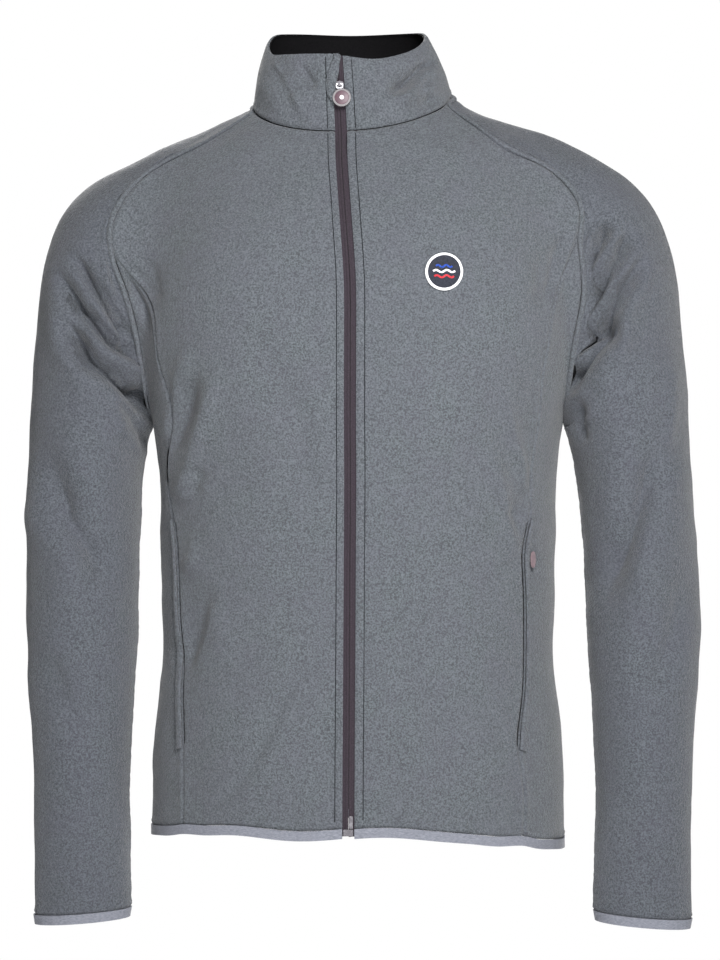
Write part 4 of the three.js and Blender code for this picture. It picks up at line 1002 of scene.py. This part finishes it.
for side in SIDES:
    points, normal, _ = surfaces[f"front_{side}"]
    seam_cord(f"princess_seam_{side}", points[:, -1], normal[:, -1])
    seam_cord(f"front_hem_seam_{side}", points[0], normal[0])
    seam_cord(f"front_top_seam_{side}", points[-1], normal[-1])
    points, normal, _ = surfaces[f"side_{side}"]
    seam_cord(f"side_top_seam_{side}", points[-1], normal[-1])
    seam_cord(f"side_hem_seam_{side}", points[0], normal[0])
    points, normal, _ = surfaces[f"sleeve_{side}"]
    seam_cord(f"cuff_seam_{side}", np.vstack([points[-1], points[-1, :1]]),
              np.vstack([normal[-1], normal[-1, :1]]))
    seam_cord(f"raglan_seam_{side}", evened(np.vstack([points[0], points[0, :1]]), 4),
              np.vstack([normal[0], normal[0, :1]]))
    line, ups = beside_row(surfaces[f"sleeve_{side}"], PIPING_IN)
    line, ups = evened(line, 6), unit(evened(ups, 12))
    rod(f"raglan_piping_{side}", line + ups * PIPING_UP, ups, PIPING_RADIUS, fleece_body, sides=12, flat=0.75)
points, normal, _ = surfaces["back"]
for name, line, ups in (("back_seam_right", points[:, 0], normal[:, 0]),
                        ("back_seam_left", points[:, -1], normal[:, -1]),
                        ("back_hem_seam", points[0], normal[0]),
                        ("back_top_seam", points[-1], normal[-1])):
    seam_cord(name, line, ups)
points, normal, _ = surfaces["collar"]
seam_cord("collar_seam", points[0], normal[0])


# The collar's inner layer lies against the outer one, just behind it

FACING_BEHIND = 2.2
FACING_THICK = 1.0
outer, outward, reach = surfaces["collar"]
facing = cloth_wall("collar_facing_cloth", outer - outward * FACING_BEHIND, outward, outward,
                    dark_inner_cloth_and_painted_shade, FACING_THICK)
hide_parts("collar_facing")


# Zip, with its tapes and its stitched edges


def tape_relief(points, distances):
    """The tape's outer face rises over the coil, and drops to the line where the two tapes meet."""
    to_middle = distances[3]
    return 0.9 * np.exp(-((to_middle - 1.2) / 1.3) ** 4) - 0.25 * np.exp(-(to_middle / 0.35) ** 2)


for side, sign in SIDES.items():
    grid = open_grid(f"zip_tape_{side}", (20 * sign, -130, -657), (0, -130, -657), thick=1)
    record(f"zip_tape_{side}", panel(
        f"zip_tape_{side}_knit", grid, tape_cloth, (8, 26), (None, None, None, None), ([], []), 81,
        thick=1, extra=tape_relief, rough=0, passes=0), f"zip_tape_{side}", slot="zip")
    line, ups = beside(surfaces[f"front_{side}"], STITCH_LINE[side], rows=slice(4, -3))
    rod(f"stitch_line_{side}", line - ups * 0.15, ups, 0.5, thread, sides=6)
    beads(f"topstitch_{side}", line + ups * 0.3, ups, 2.8, 0.8, 0.4, 0.5, thread)
    line, ups = beside(surfaces["collar"], STITCH_LINE[side], last=side == "left", rows=slice(3, -4))
    rod(f"collar_stitch_line_{side}", line - ups * 0.15, ups, 0.5, thread, sides=6)
    beads(f"collar_topstitch_{side}", line + ups * 0.3, ups, 2.8, 0.8, 0.4, 0.5, thread)


FRONT_LIMIT = -0.05


def on_surface(u, v, objects):
    """The place and normal where the line of sight through a picture place first meets cloth."""
    aim = AHEAD * VIEW_DISTANCE + ACROSS * (u - VIEW_MIDDLE) + np.array([0, 0, v - VIEW_HEIGHT])
    best = None
    for obj in objects:
        hit, place, normal, _ = obj.ray_cast(Vector(EYE * MM), Vector(aim).normalized())
        if hit and place.y < FRONT_LIMIT and (best is None or place.y < best[0].y):
            best = (place, normal)
    if best is None:
        return None
    return np.array(best[0]) / MM, np.array(best[1])


def laid_on(us, vs, objects, passes=3):
    """A grid of places on cloth behind picture places, evened out, with its normals."""
    rows, columns = us.shape
    points = np.full((rows, columns, 3), np.nan)
    for i in range(rows):
        for j in range(columns):
            found = on_surface(us[i, j], vs[i, j], objects)
            if found is not None:
                points[i, j] = found[0]
    good = [i for i in range(rows) if not np.isnan(points[i, :, 0]).all()]
    for i in range(rows):
        near = min(good, key=lambda row: abs(row - i))
        known = ~np.isnan(points[near, :, 0])
        row = np.stack([np.interp(us[near], us[near, known], points[near, known, axis])
                        for axis in range(3)], axis=1)
        points[i] = row + np.array([0, 0, 1]) * (vs[i] - vs[near])[:, None]
    for _ in range(passes):
        points[1:-1] = (points[:-2] + 2 * points[1:-1] + points[2:]) / 4
        points[:, 1:-1] = (points[:, :-2] + 2 * points[:, 1:-1] + points[:, 2:]) / 4
    base = np.broadcast_to(-AHEAD, points.shape)
    return points, normals_of(points, base)


# Chin guard: a narrow leaf over the zip's top, pointed below

GUARD_LEFT = px(334.5, 54, 331, 62, 328.4, 72, 327, 82, 327.6, 90, 329, 97, 331, 101)
GUARD_RIGHT = px(341, 54, 340, 62, 338.8, 72, 337.2, 82, 335.6, 90, 332.6, 97, 331.4, 101)
share = np.linspace(0, 1, 37)
places_down = np.linspace(0, 6, 37)
edges = [np.stack([np.interp(places_down, range(7), [p[k] for p in line]) for k in range(2)])
         for line in (GUARD_LEFT, GUARD_RIGHT)]
across = np.linspace(0, 1, 17)[None, :]
us = edges[0][0][:, None] * (1 - across) + edges[1][0][:, None] * across
vs = edges[0][1][:, None] * (1 - across) + edges[1][1][:, None] * across
zip_cloths = [made["collar"], made["zip_tape_right"], made["zip_tape_left"]]
leaf, leaf_up = laid_on(us, vs, zip_cloths, passes=4)
GUARD_THICK = 1.5
swell = 1.9 + 0.9 * (1 - (2 * across - 1) ** 4) * np.ones((37, 1))
rim_far = (1 - np.abs(2 * across - 1)) * 5
swell = swell - 0.6 * np.exp(-((rim_far - 1.4) / 0.45) ** 2)
leaf = leaf + leaf_up * swell[..., None]
guard = cloth_wall("chin_guard_cloth", leaf, normals_of(leaf, leaf_up), leaf_up, fleece_body, GUARD_THICK)
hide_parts("chin_guard")


# Pocket welts: rolled strips along the mouths, with a dark rod in each mouth beside them as painted shade


def welt_relief(points, distances):
    share = distances[2] / (distances[2] + distances[3])
    return 0.3 + 1.1 * (1 - (2 * share - 1) ** 4) - 0.5 * np.exp(-((share - 0.72) / 0.09) ** 2)


for side, sign in SIDES.items():
    grid = open_grid(f"pocket_welt_{side}", (151.8 * sign, -87.5, -582), (157.2 * sign, -82, -584), thick=1.4)
    record(f"pocket_welt_{side}", panel(
        f"pocket_welt_{side}_cloth", grid, fleece_body, (20, 14), (None, None, None, None),
        torso_folds, 21 + sign, thick=1.4, extra=welt_relief, rough=0, passes=0), f"pocket_welt_{side}")
    points, normal, _ = surfaces[f"front_{side}"]
    along = (points[:, -1, 2] > POCKET[0]) & (points[:, -1, 2] < POCKET[1])
    # A dark rod in the pocket's slit: painted shade, standing in for the shade inside the opening
    mouth = rod(f"pocket_mouth_painted_shade_{side}", points[along, -1] - normal[along, -1] * 0.9, normal[along, -1],
                1.3, thread)


# Badge: a woven disc in a white ring, with plain waves for its picture

FACE_RADIUS = 15.6
EDGE_RADIUS = 16.4
chest = [made["front_left"]]
middle_u, middle_v = (value[0] for value in seen(np.array([[BADGE_MIDDLE[0], -124.0, BADGE_MIDDLE[1]]])))


def disc(name, radii, raise_by, material, thick, rows, columns=72):
    """A ring or disc of cloth laid on the chest. raise_by gives its height at each radius."""
    radius = np.linspace(radii[0], radii[1], rows)[:, None]
    turn = np.linspace(0, 2 * math.pi, columns, endpoint=False)[None, :]
    us = middle_u + radius * np.cos(turn)
    vs = middle_v + radius * np.sin(turn)
    points = np.array([[on_surface(u, v, chest)[0] for u, v in zip(*line)] for line in zip(us, vs)])
    flat = points.reshape(-1, 3)
    fit = np.linalg.lstsq(np.stack([flat[:, 0], flat[:, 2], np.ones(len(flat)), flat[:, 0] ** 2,
                                    flat[:, 2] ** 2], axis=1), flat[:, 1], rcond=None)[0]
    slope_x = fit[0] + 2 * fit[3] * points[..., 0]
    slope_z = fit[1] + 2 * fit[4] * points[..., 2]
    base = unit(np.stack([slope_x, -np.ones_like(slope_x), slope_z], axis=-1))
    points[..., 1] = (fit[0] * points[..., 0] + fit[1] * points[..., 2] + fit[2]
                      + fit[3] * points[..., 0] ** 2 + fit[4] * points[..., 2] ** 2)
    points = points + base * raise_by(radius)[..., None]
    return cloth_wall(name, points, normals_of(points, base, True), base, material, thick, closed=True)


def low_dome(radius):
    return np.full((len(radius), 72), 1.5)


face = disc("badge_face_cloth", (0.4, FACE_RADIUS), low_dome, badge_cloth, 1.0, 16)
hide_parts("badge_face")
turns = np.linspace(0, 2 * math.pi, 96, endpoint=False)
edge = np.array([on_surface(middle_u + EDGE_RADIUS * math.cos(turn), middle_v + EDGE_RADIUS * math.sin(turn),
                            chest)[0] for turn in turns])
for _ in range(12):
    edge = (np.roll(edge, 1, axis=0) + 2 * edge + np.roll(edge, -1, axis=0)) / 4
ring = tube("badge_edge_thread", edge + np.array([0, -1.3, 0]), 1.2, 10, white_thread)
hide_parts("badge_rim")


def wave(name, low, span, material, swing=1.1):
    """A wavy bar of embroidery across the badge."""
    line, ups = [], []
    for k in range(61):
        u = middle_u + span * (k / 60 - 0.5)
        place, _ = on_surface(u, middle_v + low + swing * math.sin(k / 60 * 4 * math.pi), chest)
        line.append(place + np.array([0, -1.7, 0]))
        ups.append((0.0, -1.0, 0.0))
    line = np.array(line)
    for _ in range(8):
        line[1:-1] = (line[:-2] + 2 * line[1:-1] + line[2:]) / 4
    return rod(name, line, np.array(ups), 0.9, material)


wave("badge_wave_upper", 5.0, 15, blue_thread)
wave("badge_wave_middle", 0.4, 20, white_thread)
wave("badge_wave_lower", -4.4, 18, red_thread)


# Metal and moulded pieces keep their CAD shapes, and get finer parts and materials


def dress(node, material):
    obj = frame["nodes"][node]
    if not obj.material_slots:
        obj.data.materials.append(material)
    for place in obj.material_slots:
        place.material = material
    return obj


dress("zip_slider", dark_metal)
dress("pull_link", steel)
dress("zip_box", dark_metal)
dress("zip_pin", dark_metal)
dress("pull_tab", tab_plastic)
dress("pocket_pull_left", pocket_plastic)

tab_points = np.array([vert.co for vert in frame["nodes"]["pull_tab"].data.vertices]) / MM
tab_middle = (tab_points.min(axis=0) + tab_points.max(axis=0)) / 2
spread = np.linalg.svd(tab_points - tab_points.mean(axis=0))[2]
tab_axis = spread[2] * -np.sign(spread[2][1])
tab_tilt = math.atan2(tab_axis[2], -tab_axis[1])
TAB_HALF = 1.2
front_of_tab = tab_middle + tab_axis * TAB_HALF
turned_solid("pull_tab_middle", [(6.4, -0.4), (6.4, 0.25), (6.0, 0.4)], 48, rose_plastic, front_of_tab,
             "zip_pull", -tab_tilt)
turned_solid("pull_tab_mark", [(1.9, 0.2), (1.9, 0.6), (1.5, 0.7)], 32, white_thread, front_of_tab,
             "zip_pull", -tab_tilt)


# Light, floor and camera


def area_light(name, place, aim, size, power):
    data = bpy.data.lights.new(name, "AREA")
    data.size = size
    data.energy = power
    lamp = bpy.data.objects.new(name, data)
    lamp.location = place
    lamp.rotation_euler = (Vector(aim) - Vector(place)).to_track_quat("-Z", "Y").to_euler()
    lamp.visible_camera = False
    bpy.context.scene.collection.objects.link(lamp)


BACKDROP_REACH = (0.8, 0.93)
ROOM_LEVEL = 0.22


def studio():
    world = bpy.data.worlds.new("pale_room")
    world.use_nodes = True
    tree = world.node_tree
    direction = tree.nodes.new("ShaderNodeTexCoord")
    split = tree.nodes.new("ShaderNodeSeparateXYZ")
    shade = tree.nodes.new("ShaderNodeValToRGB")
    tree.links.new(direction.outputs["Generated"], split.inputs["Vector"])
    tree.links.new(split.outputs["Y"], shade.inputs["Fac"])
    tree.links.new(shade.outputs["Color"], tree.nodes["Background"].inputs["Color"])
    for element, place, level in zip(shade.color_ramp.elements, BACKDROP_REACH, (ROOM_LEVEL, 1)):
        element.position = place
        element.color = (level, level, level, 1)
    bpy.context.scene.world = world
    area_light("key", (0.6, -2.1, 0.9), (0, 0, -0.35), 0.8, 120)
    area_light("fill", (0.1, -2.0, -1.4), (0, 0, -0.6), 1.6, 85)
    area_light("back_key", (-0.7, 2.2, 0.8), (0, 0, -0.35), 1.0, 120)
    area_light("back_fill", (0.4, 2.1, -1.3), (0, 0, -0.5), 1.6, 75)
    floor_mesh = bpy.data.meshes.new("floor")
    ring = [(0.9 * math.cos(k * math.pi / 32), 0.9 * math.sin(k * math.pi / 32), -0.95) for k in range(64)]
    floor_mesh.from_pydata(ring, [], [tuple(range(64))])
    floor = bpy.data.objects.new("floor", floor_mesh)
    bpy.context.scene.collection.objects.link(floor)
    pale = Nodes("pale_floor")
    floor_mesh.materials.append(pale.finish(linear(244, 244, 244), 0.8))


def camera():
    data = bpy.data.cameras.new("camera")
    data.sensor_width = 36
    data.lens = 36 * VIEW_DISTANCE / PICTURE_TALL
    data.clip_end = 20
    eye = bpy.data.objects.new("camera", data)
    eye.location = [value * MM for value in EYE]
    eye.rotation_euler = Vector(AHEAD).to_track_quat("-Z", "Y").to_euler()
    bpy.context.scene.collection.objects.link(eye)
    bpy.context.scene.camera = eye


studio()
camera()
bpy.context.scene.view_settings.view_transform = "Standard"
